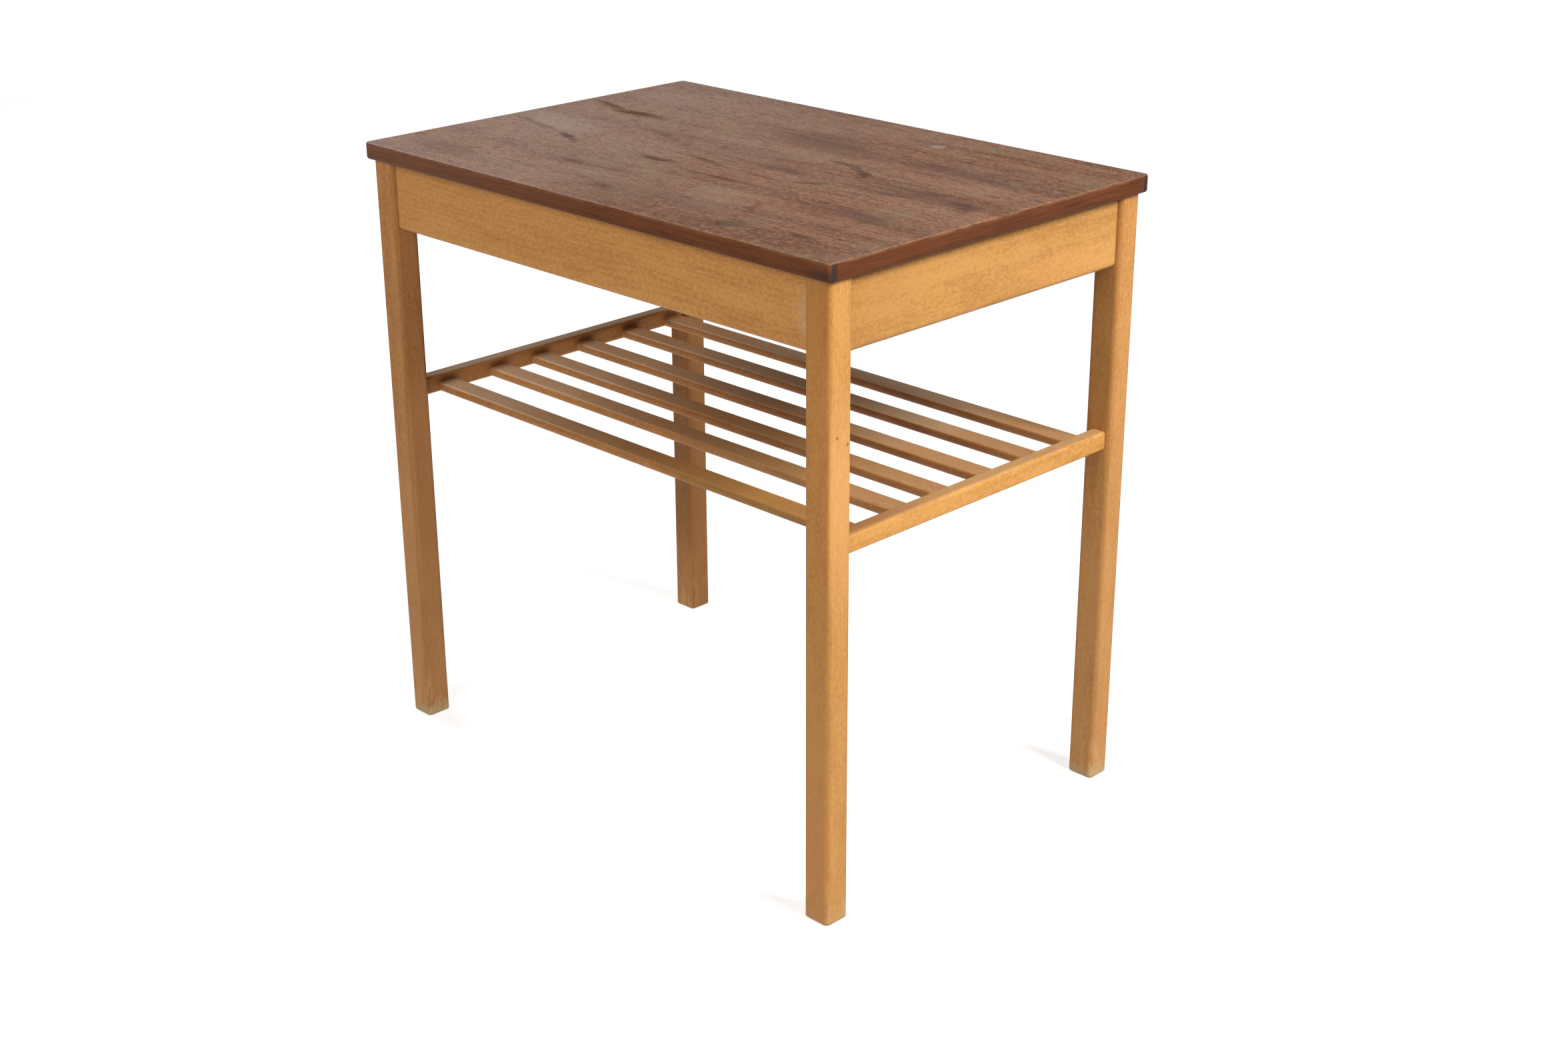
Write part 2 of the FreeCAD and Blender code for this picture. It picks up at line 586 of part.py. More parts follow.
def check(pieces):
    """Stops if any feature failed or any piece is not a sound solid."""
    for thing in doc.Objects:
        if {"Invalid", "Error"} & set(thing.State):
            raise RuntimeError(f"{thing.Label} failed: {thing.State}")
    for piece in pieces:
        if piece.Shape.isNull() or not piece.Shape.isValid() or not piece.Shape.Solids:
            raise RuntimeError(f"{piece.Label} is not a sound solid")


pieces = table()
doc.recompute()
check(pieces)
os.makedirs("parts", exist_ok=True)
for piece in pieces:
    piece.Shape.exportStep(f"parts/{piece.Label}.step")
    print(f"{piece.Label}: {len(piece.Shape.Solids)} solid(s), {piece.Shape.Volume / 1000:.1f} cm3")
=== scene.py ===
# Open bedside table: a worn teak top on a lacquered beech frame, with a shelf of spaced slats.
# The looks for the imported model, in metres and in the model's own frame.
import math
from functools import reduce

import bmesh
import bpy
from bpy.props import FloatProperty, FloatVectorProperty, IntProperty, PointerProperty
from mathutils import Matrix, Vector


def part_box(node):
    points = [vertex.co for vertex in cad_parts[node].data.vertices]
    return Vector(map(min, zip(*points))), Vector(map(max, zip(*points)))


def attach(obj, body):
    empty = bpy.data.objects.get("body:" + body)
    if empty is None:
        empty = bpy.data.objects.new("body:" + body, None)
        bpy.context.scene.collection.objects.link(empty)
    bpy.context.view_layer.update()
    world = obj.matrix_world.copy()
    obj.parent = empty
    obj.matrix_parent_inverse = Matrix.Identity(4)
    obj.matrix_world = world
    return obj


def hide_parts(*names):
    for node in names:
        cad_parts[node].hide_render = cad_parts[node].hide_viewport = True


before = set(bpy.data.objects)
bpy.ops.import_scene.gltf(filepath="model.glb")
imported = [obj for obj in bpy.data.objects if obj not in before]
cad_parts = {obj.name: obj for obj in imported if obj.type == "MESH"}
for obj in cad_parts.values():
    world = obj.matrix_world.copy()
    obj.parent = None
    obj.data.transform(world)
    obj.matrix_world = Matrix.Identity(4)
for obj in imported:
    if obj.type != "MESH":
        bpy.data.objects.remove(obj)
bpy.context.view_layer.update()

bl_info = {
    "name": "Open bedside table",
    "version": (1, 0, 0),
    "blender": (4, 5, 0),
    "location": "3D View > Sidebar > Bedside table",
    "description": "Finishes and makes the pieces of an open bedside table",
    "category": "Object",
}

MM = 0.001
SLATS = tuple(f"shelf_slat_{number}" for number in range(1, 7))
INNER_SLATS = (2, 3, 4, 5)
BLOCKS = tuple(f"corner_block_{end}_{side}" for end in ("front", "back") for side in ("left", "right"))
TOP_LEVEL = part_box("top_veneer")[1].z
AXES = {"X": Vector((1, 0, 0)), "Y": Vector((0, 1, 0)), "Z": Vector((0, 0, 1))}
AS_IT_IS = (1.0, 1.0, 1.0)

# Each beech piece of the frame: its grain, where its figure is cut from, and how its tone differs.
BEECH_PIECES = {
    "leg_front_left": ("Z", 3, (0.90, 0.87, 0.96)),
    "leg_front_right": ("Z", 8, (1.0, 1.02, 0.94)),
    "leg_back_left": ("Z", 13, (0.82, 0.82, 0.88)),
    "leg_back_right": ("Z", 21, (0.96, 0.97, 1.0)),
    "apron_front": ("X", 34, (1.04, 1.04, 1.02)),
    "apron_back": ("X", 55, (1.0, 1.0, 1.0)),
    "apron_left": ("Y", 89, (0.98, 0.98, 1.0)),
    "apron_right": ("Y", 144, (0.91, 0.96, 0.93)),
    # Its darker tone also paints the shade on its inner face.
    "shelf_rail_left": ("Y", 233, (0.87, 0.79, 0.86)),
    "shelf_rail_right": ("Y", 377, (1.13, 1.17, 1.06)),
}

# The same for each lipping of the top.
LIPPINGS = {
    "lipping_front": ("X", 5, (1.14, 1.15, 1.12)),
    "lipping_back": ("X", 9, (1.0, 1.0, 1.0)),
    "lipping_left": ("Y", 17, (0.9, 0.9, 0.95)),
    "lipping_right": ("Y", 29, (0.9, 0.88, 0.95)),
}

# How strongly the lower end of each leg is worn.
FOOT_WEAR = {"leg_front_left": 0.95, "leg_front_right": 0.4, "leg_back_left": 0.05, "leg_back_right": 0.9}

# Steps that pick out one face of a leg: the axis, where it is 0 and where it is 1, in metres.
FRONT_LEG_FRONT = ("y", -0.1945, -0.1968)
BACK_LEG_FRONT = ("y", 0.1735, 0.1712)
LEFT_INSIDE = ("x", -0.2695, -0.2675)
RIGHT_OUTSIDE = ("x", 0.2925, 0.2948)

# Painted light and shade on single pieces: colour, its tone, strength, and the steps that bound it.
PAINTED_LIGHT_AND_SHADE = {
    # Painted light on the inner face, partway up.
    "leg_front_left": (
        ("rubbed", (1.0, 0.85, 0.8), 0.4, LEFT_INSIDE, ("z", 0.38, 0.32), ("z", 0.10, 0.18)),
    ),
    # Painted shade on the front face, darker under the top, and painted light towards the foot.
    "leg_front_right": (
        ("late", (1.0, 0.84, 0.78), 0.3, FRONT_LEG_FRONT),
        ("handled", (0.85, 0.65, 0.5), 0.3, FRONT_LEG_FRONT, ("z", 0.44, 0.57)),
        ("rubbed", (1.07, 0.9, 0.8), 0.4, FRONT_LEG_FRONT, ("z", 0.3, 0.03)),
    ),
    # Painted shade at the top of the front face.
    "leg_back_right": (
        ("handled", AS_IT_IS, 0.2, BACK_LEG_FRONT, ("z", 0.34, 0.42)),
    ),
    # Painted shade towards the front end, and painted light low at the back end.
    "apron_right": (
        ("handled", AS_IT_IS, 0.18, ("y", -0.04, -0.16)),
        ("rubbed", (1.15, 1.1, 1.0), 0.2, ("y", -0.03, 0.1), ("z", 0.556, 0.53)),
    ),
}
LEG_SPECKS = ((0.295, -0.188, 0.445), (0.295, -0.176, 0.437))  # in the front right leg's outer face

# Marks of use in the top: middle, half length and half width in millimetres, turn in degrees, strength.
DARK_MARKS = (
    ((84, 42), (20, 5.0), -8, 0.8),
    ((107, 36), (18, 6.5), -26, 1.0),
    ((124, 23), (15, 6.5), -62, 1.0),
    ((196, 14), (74, 5.5), 4, 0.45),
    ((200, -10), (72, 5.5), 2, 0.42),
    ((261, -2), (24, 14.0), -14, 0.8),
    ((109, -29), (22, 7.0), 34, 0.7),
    ((66, -41), (32, 4.5), -2, 0.7),
    ((-14, -33), (36, 6.0), -10, 0.75),
    ((-246, -38), (56, 4.0), -12, 0.75),
    ((-178, -56), (30, 5.5), -26, 1.0),
    ((232, -161), (22, 8.0), -12, 0.9),
    ((157, -172), (16, 15.0), 30, 0.75),
    ((236, -96), (18, 14.0), 60, 0.45),
    ((-16, -160), (24, 6.0), 6, 0.6),
    ((-106, -118), (16, 7.0), 8, 0.5),
    ((-50, -114), (16, 6.0), 8, 0.5),
)
BROWN_MARKS = (
    ((-258, 66), (44, 5.0), -12, 0.7),
    ((-208, 58), (46, 10.5), 3, 0.9),
    ((-50, -59), (26, 7.0), 8, 0.9),
    ((40, -69), (80, 4.5), 0, 0.6),
    ((136, -122), (28, 7.5), -60, 0.5),
    ((-118, 10), (44, 5.0), -10, 0.4),
)
SMUDGES = (
    ((12, 92), (92, 34), -6, 0.6),
    ((170, 88), (96, 30), 0, 0.35),
    ((210, 2), (82, 17), 2, 0.55),
    ((62, -9), (34, 13), 0, 0.6),
    ((210, -80), (52, 15), -6, 0.55),
    ((-80, -116), (56, 8), 2, 0.5),
    ((-225, -166), (60, 20), -6, 0.4),
    ((40, -150), (150, 20), 0, 0.3),
)
# The first is a whitish scuff, the second a pale patch of painted sheen on the left.
PALE_MARKS_AND_SHEEN = (
    ((98, 152), (9, 6.5), -30, 0.5),
    ((-238, -18), (70, 30), -8, 0.3),
    ((-250, 130), (60, 30), 0, 0.12),
)
MARK_DEPTH = 10.0  # far deeper than the top, so that height doesn't count

# How deep the relief of each surface is, in metres.
FIGURE_BUMP = 0.00006
VENEER_BUMP = 0.00005
SAWN_BUMP = 0.00012
TURNED_BUMP = 0.0001
CHIP_BUMP = 0.0002
LATHE_BUMP = 0.00001

SEED_STEP = Vector((0.37, 0.61, 0.23))  # how far apart the figures of two neighbouring seeds are cut
BAND_WANDER = 0.012  # how far the growth bands wander

SLAT_RUN = 25  # points along a slat
SLAT_ROUND = 6  # points along each of its arrises
SLAT_CREASE = 40  # degrees
OVERLAP = 0.001  # how far a tenon reaches back into its slat

HEAD_RUN = 9  # points along a screw's head
SHANK_RUN = 75  # points along its shank
SCREW_ROUND = 20  # points round it
SCREW_CREASE = 35  # degrees
CUTTER_LENGTH = 1.3  # in head diameters
NECK = 0.0005  # how far a screw's shank reaches back into its head
THREAD_START = (0.006, 0.008)  # where the thread comes in along a screw
LEAST_RADIUS = 0.00001  # where a head or a tip comes to a point
WELD = 0.00003  # points nearer to each other than this become one
GRIP = 0.008  # how much of a corner block a side screw passes through
WELL = 0.014  # from a block's inner corner to the middle of a side screw's well

LAMP_AIM = Vector((0, 0, 0.45))
LAMP_AWAY = 2.6
COVE_STEP = 6  # degrees
GLOW_SPAN = (0.8, 5.0)  # from where the floor glows least to where it glows most


def colour(name, text, default):
    """A colour that a user may change, in linear light."""
    return FloatVectorProperty(name=name, description=f"Colour of {text}", default=default,
                               subtype="COLOR", size=3, min=0.0, max=1.0)


def amount(name, text, default, **kind):
    """A number that a user may change."""
    return FloatProperty(name=name, description=text, default=default, **kind)


def distance(name, text, default):
    """A length that a user may change, in metres."""
    return amount(name, text, default, unit="LENGTH", subtype="DISTANCE", min=0.0, precision=4)


def share(name, text, default):
    """A share from nothing to the whole."""
    return amount(name, text, default, subtype="FACTOR", min=0.0, max=1.0)


def angle(name, text, default):
    """An angle that a user may change, given in degrees."""
    return amount(name, text, math.radians(default), subtype="ANGLE")


def power(name, text, default):
    """The power of a light in watts."""
    return amount(name, text, default, unit="POWER", min=0.0)


def way_to(name, text, default):
    """The direction of a light, which a user may change."""
    return FloatVectorProperty(name=name, description=f"Where {text} stands, seen from the table",
                               default=default, size=3, subtype="DIRECTION")


def size_of(node, axis):
    """How far a node of the model reaches along one axis."""
    lowest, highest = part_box(node)
    return highest[axis] - lowest[axis]


def middle_of(node):
    """The middle of a node's box."""
    lowest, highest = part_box(node)
    return (lowest + highest) / 2


def slat_share(slat):
    """Where one slat lies between the first and the last, counted from one."""
    first, last = middle_of(SLATS[0]).y, middle_of(SLATS[-1]).y
    return (middle_of(SLATS[slat - 1]).y - first) / (last - first)


class BeechSettings(bpy.types.PropertyGroup):
    """The lacquered beech of the frame and the slats."""
    early: colour("Pale wood", "the wood between the growth bands", (0.58, 0.275, 0.080))
    late: colour("Growth bands", "the darker growth bands", (0.445, 0.191, 0.049))
    fleck: colour("Flecks", "the short ray flecks", (0.30, 0.115, 0.030))
    # Also painted light in bands on single pieces.
    rubbed: colour("Rubbed arrises", "the arrises where they are rubbed", (0.68, 0.35, 0.13))
    # Painted shade on the legs' arrises, the aprons' top edges, single faces and the slats.
    handled: colour("Handled arrises", "the arrises darkened by hands", (0.30, 0.13, 0.035))
    # Also painted light on the slats' tops where they lie in shade.
    dust: colour("Dust", "the dust on what faces up", (0.52, 0.395, 0.265))
    worn: colour("Worn feet", "the worn, greyed wood at the feet", (0.52, 0.36, 0.17))
    grime: colour("Grime", "the dirt under the feet", (0.17, 0.13, 0.075))
    # Also painted shade where an apron meets a leg and round the slats' ends.
    corner: colour("Corner dirt", "the dirt in the corners between pieces", (0.075, 0.030, 0.012))
    band_spacing: distance("Band spacing", "Distance between growth bands", 0.0038)
    fleck_length: distance("Fleck length", "Length of a ray fleck along the grain", 0.0035)
    foot_band: distance("Dirt height", "How far the worn wood climbs up the feet", 0.016)
    gloss: share("Roughness", "Roughness of the satin lacquer", 0.46)


class TeakSettings(bpy.types.PropertyGroup):
    """The teak veneer and lippings of the top."""
    veneer: colour("Veneer", "the worn veneer", (0.137, 0.062, 0.036))
    warm: colour("Warm figure", "the veneer's warmer bands", (0.222, 0.110, 0.065))
    streak: colour("Streaks", "the veneer's dark streaks", (0.063, 0.032, 0.024))
    # Also painted sheen towards the top's left end and painted light on the long lippings' left ends.
    haze: colour("Haze", "the dulled lacquer", (0.325, 0.238, 0.200))
    green_haze: colour("Greenish haze", "the greenish patches in it", (0.230, 0.182, 0.106))
    smudge: colour("Smudges", "the wide faint stains", (0.090, 0.050, 0.042))
    brown_mark: colour("Brown marks", "the brown streaks", (0.085, 0.041, 0.020))
    dark_mark: colour("Dark marks", "the dark scratches and stains", (0.042, 0.024, 0.018))
    # Also the pale patch of painted sheen on the top's left part.
    scuff: colour("Scuffs", "the pale scuffs", (0.36, 0.29, 0.25))
    # Also a painted highlight along the top's outer arrises.
    rubbed: colour("Rubbed arrises", "the top's rubbed arrises", (0.26, 0.125, 0.060))
    lipping: colour("Lipping", "the lippings", (0.152, 0.046, 0.014))
    # Also painted shade towards the lippings' lower edges.
    lipping_dark: colour("Lipping pores", "the lippings' grain lines", (0.075, 0.024, 0.010))
    end_grain: colour("End grain", "the long lippings' cut ends", (0.052, 0.024, 0.018))
    stain: colour("Corner stain", "the stain by the near corner", (0.035, 0.022, 0.018))
    streak_length: distance("Streak length", "Length of the veneer's streaks", 0.075)
    streak_width: distance("Streak width", "Width of the veneer's streaks", 0.0040)
    gloss: share("Roughness", "Roughness of the worn lacquer", 0.42)


class SlatSettings(bpy.types.PropertyGroup):
    """The sizes and places of the shelf's slats."""
    width: distance("Width", "Width of a slat", size_of(SLATS[0], 1))
    thickness: distance("Thickness", "Thickness of a slat", size_of(SLATS[0], 2))
    arris: distance("Arris radius", "Radius along a slat's four edges", 0.003)
    length: distance("Length", "Length of a slat between the rails", 2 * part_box("shelf_rail_right")[0].x)
    tenon_width: distance("Tenon width", "Width of the tenon at a slat's end", 0.016)
    tenon_thickness: distance("Tenon thickness", "Thickness of the tenon at a slat's end", 0.0045)
    bow: distance("Bow", "How far the most bowed slat hangs in its middle", 0.0003)
    places: FloatVectorProperty(name="Places", description="Where slats 2 to 5 lie between the outer two",
                                default=[slat_share(slat) for slat in INNER_SLATS], size=4,
                                min=0.0, max=1.0)
    seed: IntProperty(name="Seed", description="Seed of the slats' tones and bows", default=4, min=0)


class ScrewSettings(bpy.types.PropertyGroup):
    """The sizes of the slotted round-head screws."""
    head_diameter: distance("Head diameter", "Diameter of the domed head", 0.0076)
    head_height: distance("Head height", "Height of the domed head", 0.0028)
    shank_diameter: distance("Shank diameter", "Diameter over the thread", 0.004)
    slot_width: distance("Slot width", "Width of the driver's slot", 0.001)
    slot_depth: distance("Slot depth", "Depth of the driver's slot", 0.0013)
    pitch: distance("Pitch", "Distance between turns of the thread", 0.0018)
    thread_depth: distance("Thread depth", "Depth of the thread's groove", 0.0005)
    tip: distance("Tip", "Length of the tapered tip", 0.004)
    steel: colour("Steel", "the steel", (0.50, 0.49, 0.47))
    tarnish: colour("Tarnish", "the tarnished places", (0.21, 0.17, 0.13))
    seed: IntProperty(name="Seed", description="Seed of the slots' turns", default=2, min=0)


class JoinerySettings(bpy.types.PropertyGroup):
    """The woods that the finished table hides or half hides."""
    block: colour("Block", "the sawn corner blocks", (0.46, 0.27, 0.12))
    block_band: colour("Block bands", "the blocks' darker bands", (0.33, 0.165, 0.062))
    dowel: colour("Dowel", "the turned dowels", (0.56, 0.37, 0.19))
    core: colour("Core", "the board's pale chips", (0.42, 0.27, 0.13))
    core_dark: colour("Core, dark", "the board's dark chips", (0.20, 0.11, 0.05))


class StageSettings(bpy.types.PropertyGroup):
    """The camera, the light and the floor."""
    lens: amount("Lens", "Focal length for a sensor 36 mm wide", 51.12, unit="CAMERA", min=10.0)
    azimuth: angle("Azimuth", "How far the camera stands round to the right", 44.883)
    elevation: angle("Elevation", "How far the camera looks down", 22.362)
    roll: angle("Roll", "How far the camera is tipped to one side", -0.185)
    away: distance("Distance", "From the camera to the point it looks at", 2.14488)
    target: FloatVectorProperty(name="Target", description="The point that the camera looks at",
                                default=(0.02329, 0.02541, 0.23293), size=3, subtype="TRANSLATION",
                                unit="LENGTH")
    sky: amount("Room light", "Strength of the even white light from above", 0.08, min=0.0)
    walls: amount("Wall light", "Strength of the white light from the sides", 0.02, min=0.0)
    bounce: amount("Bounced light", "Strength of the light from the pale floor", 0.84, min=0.0)
    key: power("Key light", "Power of the large soft light on the right", 87.0)
    key_size: distance("Key size", "Side of the square key light", 0.95)
    key_way: way_to("Key direction", "the key light", (0.782, 0.096, 0.616))
    fill: power("Fill light", "Power of the wider soft light in front", 36.0)
    fill_size: distance("Fill size", "Side of the square fill light", 1.6)
    fill_way: way_to("Fill direction", "the fill light", (0.224, -0.836, 0.5))
    side: power("Side light", "Power of the soft light on the left", 34.0)
    side_size: distance("Side size", "Side of the square side light", 1.5)
    side_way: way_to("Side direction", "the side light", (-0.819, 0.0, 0.574))
    floor: colour("Floor", "the plain pale floor", (0.62, 0.62, 0.615))
    floor_glow: amount("Floor glow", "How far the floor is lit from below", 0.62, min=0.0)
    cove_glow: amount("Cove glow", "How far the floor's far part and cove glow", 0.97, min=0.0)
    floor_reach: distance("Floor reach", "Radius of the flat floor", 7.0)
    cove: distance("Cove radius", "Radius of the cove round the floor", 6.0)


class BedsideTableSettings(bpy.types.PropertyGroup):
    """All settings of the table and its stage."""
    beech: PointerProperty(type=BeechSettings)
    teak: PointerProperty(type=TeakSettings)
    slats: PointerProperty(type=SlatSettings)
    screws: PointerProperty(type=ScrewSettings)
    joinery: PointerProperty(type=JoinerySettings)
    stage: PointerProperty(type=StageSettings)


def maths(operation, turned=False):
    """A method that sends its value, and any others it is given, through one Math node."""
    def method(self, *others):
        terms = (*others, self) if turned else (self, *others)
        return self.tree.add("ShaderNodeMath", {"operation": operation}, dict(enumerate(terms)))
    return method


class Value:
    """What comes out of one socket. Sums on it add Math nodes to its tree."""

    def __init__(self, tree, socket):
        self.tree = tree
        self.socket = socket

    __add__ = __radd__ = maths("ADD")
    __sub__ = maths("SUBTRACT")
    __rsub__ = maths("SUBTRACT", turned=True)
    __mul__ = __rmul__ = maths("MULTIPLY")
    __truediv__ = maths("DIVIDE")
    __pow__ = maths("POWER")
    __mod__ = maths("FLOORED_MODULO")
    __abs__ = maths("ABSOLUTE")
    least = maths("MINIMUM")
    most = maths("MAXIMUM")
    above = maths("GREATER_THAN")
    root = maths("SQRT")
    turn_to = maths("ARCTAN2")

    def __neg__(self):
        return 0 - self

    def other(self, name):
        """Another output of the same node."""
        return Value(self.tree, self.socket.node.outputs[name])

    def rise(self, start, end, low=0.0, high=1.0):
        """A soft step from low to high as this value goes from start to end."""
        return self.tree.add("ShaderNodeMapRange", {"interpolation_type": "SMOOTHSTEP"},
                             {"Value": self, "From Min": start, "From Max": end,
                              "To Min": low, "To Max": high})


class NodeTree:
    """A node tree that nodes are added to by type."""

    def __init__(self, tree):
        self.tree = tree

    def add(self, kind, settings=None, sockets=None, output=0):
        """Adds a node, sets it up, then fills or links its inputs by name or number."""
        node = self.tree.nodes.new(kind)
        for name, setting in (settings or {}).items():
            if name == "items":
                while len(node.index_switch_items) < setting:
                    node.index_switch_items.new()
            else:
                setattr(node, name, setting)
        for name, entry in (sockets or {}).items():
            if isinstance(entry, Value):
                self.tree.links.new(entry.socket, node.inputs[name])
            else:
                node.inputs[name].default_value = entry
        return Value(self, node.outputs[output]) if node.outputs else None

    def vector(self, operation, first, second, output=0):
        """A sum on vectors."""
        return self.add("ShaderNodeVectorMath", {"operation": operation}, {0: first, 1: second}, output)

    def combine(self, x, y, z):
        """A vector of three numbers."""
        return self.add("ShaderNodeCombineXYZ", None, {0: x, 1: y, 2: z})

    def parts(self, place):
        """The three numbers of a vector."""
        x = self.add("ShaderNodeSeparateXYZ", None, {0: place})
        return x, x.other("Y"), x.other("Z")


class Finish(NodeTree):
    """A material whose shader reads the place on the object, in metres."""

    def __init__(self, name, settings, shine=0.5, **constants):
        self.material = bpy.data.materials.new(name)
        self.material.use_nodes = True
        super().__init__(self.material.node_tree)
        self.tree.nodes.clear()
        self.place = self.add("ShaderNodeTexCoord", output="Object")
        self.x, self.y, self.z = self.parts(self.place)
        self.grain_place = self.place
        self.settings = settings
        self.constants = {"Specular IOR Level": shine, **constants}

    def follow_grain(self, along, seed, middle=(0, 0, 0)):
        """Turns and shifts the place so that its first number runs along the grain."""
        along = Vector(along).normalized()
        side = along.orthogonal().normalized() if abs(along.z) > 0.9 else AXES["Z"]
        ways = (along, side, along.cross(side))
        centred = self.vector("SUBTRACT", self.place, tuple(middle))
        turned = [self.vector("DOT_PRODUCT", centred, tuple(way), "Value") for way in ways]
        self.along, self.side, self.other_side = turned
        self.grain_place = self.vector("ADD", self.combine(*turned), tuple(SEED_STEP * seed))

    def stretched(self, length, width):
        """The place counted in grains that have this length along the grain and this width across it."""
        return self.vector("MULTIPLY", self.grain_place, (1 / length, 1 / width, 1 / width))

    def noise(self, length, width, detail=3.0, roughness=0.6, distortion=0.0, output="Fac"):
        """Soft noise with grains of one length and width."""
        return self.add("ShaderNodeTexNoise", {"noise_dimensions": "3D"},
                        {"Vector": self.stretched(length, width), "Scale": 1.0, "Detail": detail,
                         "Roughness": roughness, "Distortion": distortion}, output)

    def cells(self, place):
        """How far a place lies from the middle of its cell, and a number of the cell's own."""
        away = self.add("ShaderNodeTexVoronoi", {"feature": "F1"}, {"Vector": place, "Scale": 1.0})
        return away, self.add("ShaderNodeSeparateColor", None, {0: away.other("Color")})

    def specks(self, length, width, size):
        """Small separate spots, 1 in their middle and 0 away from them, of varied strength."""
        away, chance = self.cells(self.stretched(length, width))
        return away.rise(size, size * 0.35) * chance

    def growth_bands(self, spacing, pith):
        """Growth rings round a pith beside the piece, seen as bands where the faces cut them."""
        wander = self.noise(0.22, 0.035, 2.0, 0.5) - 0.5
        reach = ((self.side + pith[0]) ** 2.0 + (self.other_side + pith[1]) ** 2.0).root()
        return banded((reach + wander * BAND_WANDER) / spacing)

    def mix(self, first, second, amount):
        """One colour laid over another."""
        return self.add("ShaderNodeMix", {"data_type": "RGBA"},
                        {0: amount, 6: opaque(first), 7: opaque(second)}, 2)

    def start(self, name, tone=AS_IT_IS):
        """Starts the base with a colour of the settings."""
        self.base = toned(getattr(self.settings, name), tone)

    def lay(self, name, amount, tone=AS_IT_IS):
        """Lays a colour of the settings over the base."""
        self.base = self.mix(self.base, toned(getattr(self.settings, name), tone), amount)

    def within(self, *steps):
        """1 inside a place and 0 outside it: the product of soft steps along x, y or z."""
        return reduce(Value.__mul__, [getattr(self, axis).rise(*span) for axis, *span in steps])

    def mark(self, place, middle, half_size, turn, strength):
        """A soft oval mark on the top, 0 away from it."""
        own = self.add("ShaderNodeMapping", {"vector_type": "TEXTURE"},
                       {"Vector": place, "Location": (middle[0] * MM, middle[1] * MM, TOP_LEVEL),
                        "Rotation": (0, 0, math.radians(turn)),
                        "Scale": (half_size[0] * MM, half_size[1] * MM, MARK_DEPTH)})
        return self.vector("LENGTH", own, (0, 0, 0), "Value").rise(1.15, 0.2, 0.0, strength)

    def marks(self, rows, place):
        """Several marks as one mask."""
        return reduce(Value.most, [self.mark(place, *row) for row in rows])

    def dusty(self):
        """How thick the dust lies, where on the slats it also paints light: only on what faces up, and
        thicker towards the left end.
        """
        facing = self.add("ShaderNodeNewGeometry", output="Normal")
        level = self.vector("DOT_PRODUCT", facing, (0, 0, 1), "Value").rise(0.6, 0.95)
        return level * self.x.rise(0.0, -0.24, 0.28, 0.52)

    def arrises(self, node, width):
        """1 along the long edges of a node's box and 0 away from them."""
        lowest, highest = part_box(node)
        places = (self.x, self.y, self.z)
        across = sorted(range(3), key=lambda axis: size_of(node, axis))[:2]
        near = [(places[axis] - lowest[axis]).least(highest[axis] - places[axis]) for axis in across]
        return near[0].most(near[1]).rise(width, width * 0.2)

    def finish(self, roughness, height=None, bump=0.0):
        """Ends the tree in a Principled shader, with bump from a height in metres."""
        sockets = {**self.constants, "Base Color": opaque(self.base), "Roughness": roughness}
        if height is not None:
            sockets["Normal"] = self.add("ShaderNodeBump", None,
                                         {"Height": height, "Distance": bump, "Strength": 1.0})
        shader = self.add("ShaderNodeBsdfPrincipled", None, sockets)
        self.add("ShaderNodeOutputMaterial", None, {"Surface": shader})
        return self.material


def opaque(entry):
    """A colour for a colour socket."""
    return entry if isinstance(entry, Value) else (*entry[:3], 1.0)


def toned(entry, tone):
    """A colour made lighter, darker or warmer by three factors."""
    return tuple(part * factor for part, factor in zip(entry, tone))


def banded(turns):
    """One band for each whole turn, which comes in softly and ends sharply."""
    phase = turns % 1.0
    return phase.rise(0.25, 0.85) * phase.rise(1.0, 0.88)


def paint(node, material):
    """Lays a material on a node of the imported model."""
    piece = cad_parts[node]
    if not piece.material_slots:
        raise RuntimeError(f"{node} has no material slot")
    for slot in piece.material_slots:
        slot.material = material


def lay_beech(wood, tone, bands):
    """The figure of beech: bands, fibres, slow drift and flecks. Returns the fibres and the flecks."""
    fibres = wood.noise(0.045, 0.0011)
    drift = wood.noise(0.16, 0.028, 2.0, 0.5)
    cloud = wood.noise(0.03, 0.012)
    speckle = wood.noise(0.0045, 0.0028, 2.0)
    flecks = wood.specks(wood.settings.fleck_length, 0.0010, 0.42)
    depth = bands * 0.17 + fibres.rise(0.35, 0.72) * 0.22 + drift.rise(0.3, 0.7) * 0.38
    depth = depth * 1.5 + cloud.rise(0.35, 0.75) * 0.34 + speckle.rise(0.36, 0.64) * 0.6 - 0.57
    wood.start("early", tone)
    wood.lay("late", depth, tone)
    wood.lay("fleck", flecks * 0.42, tone)
    return fibres, flecks


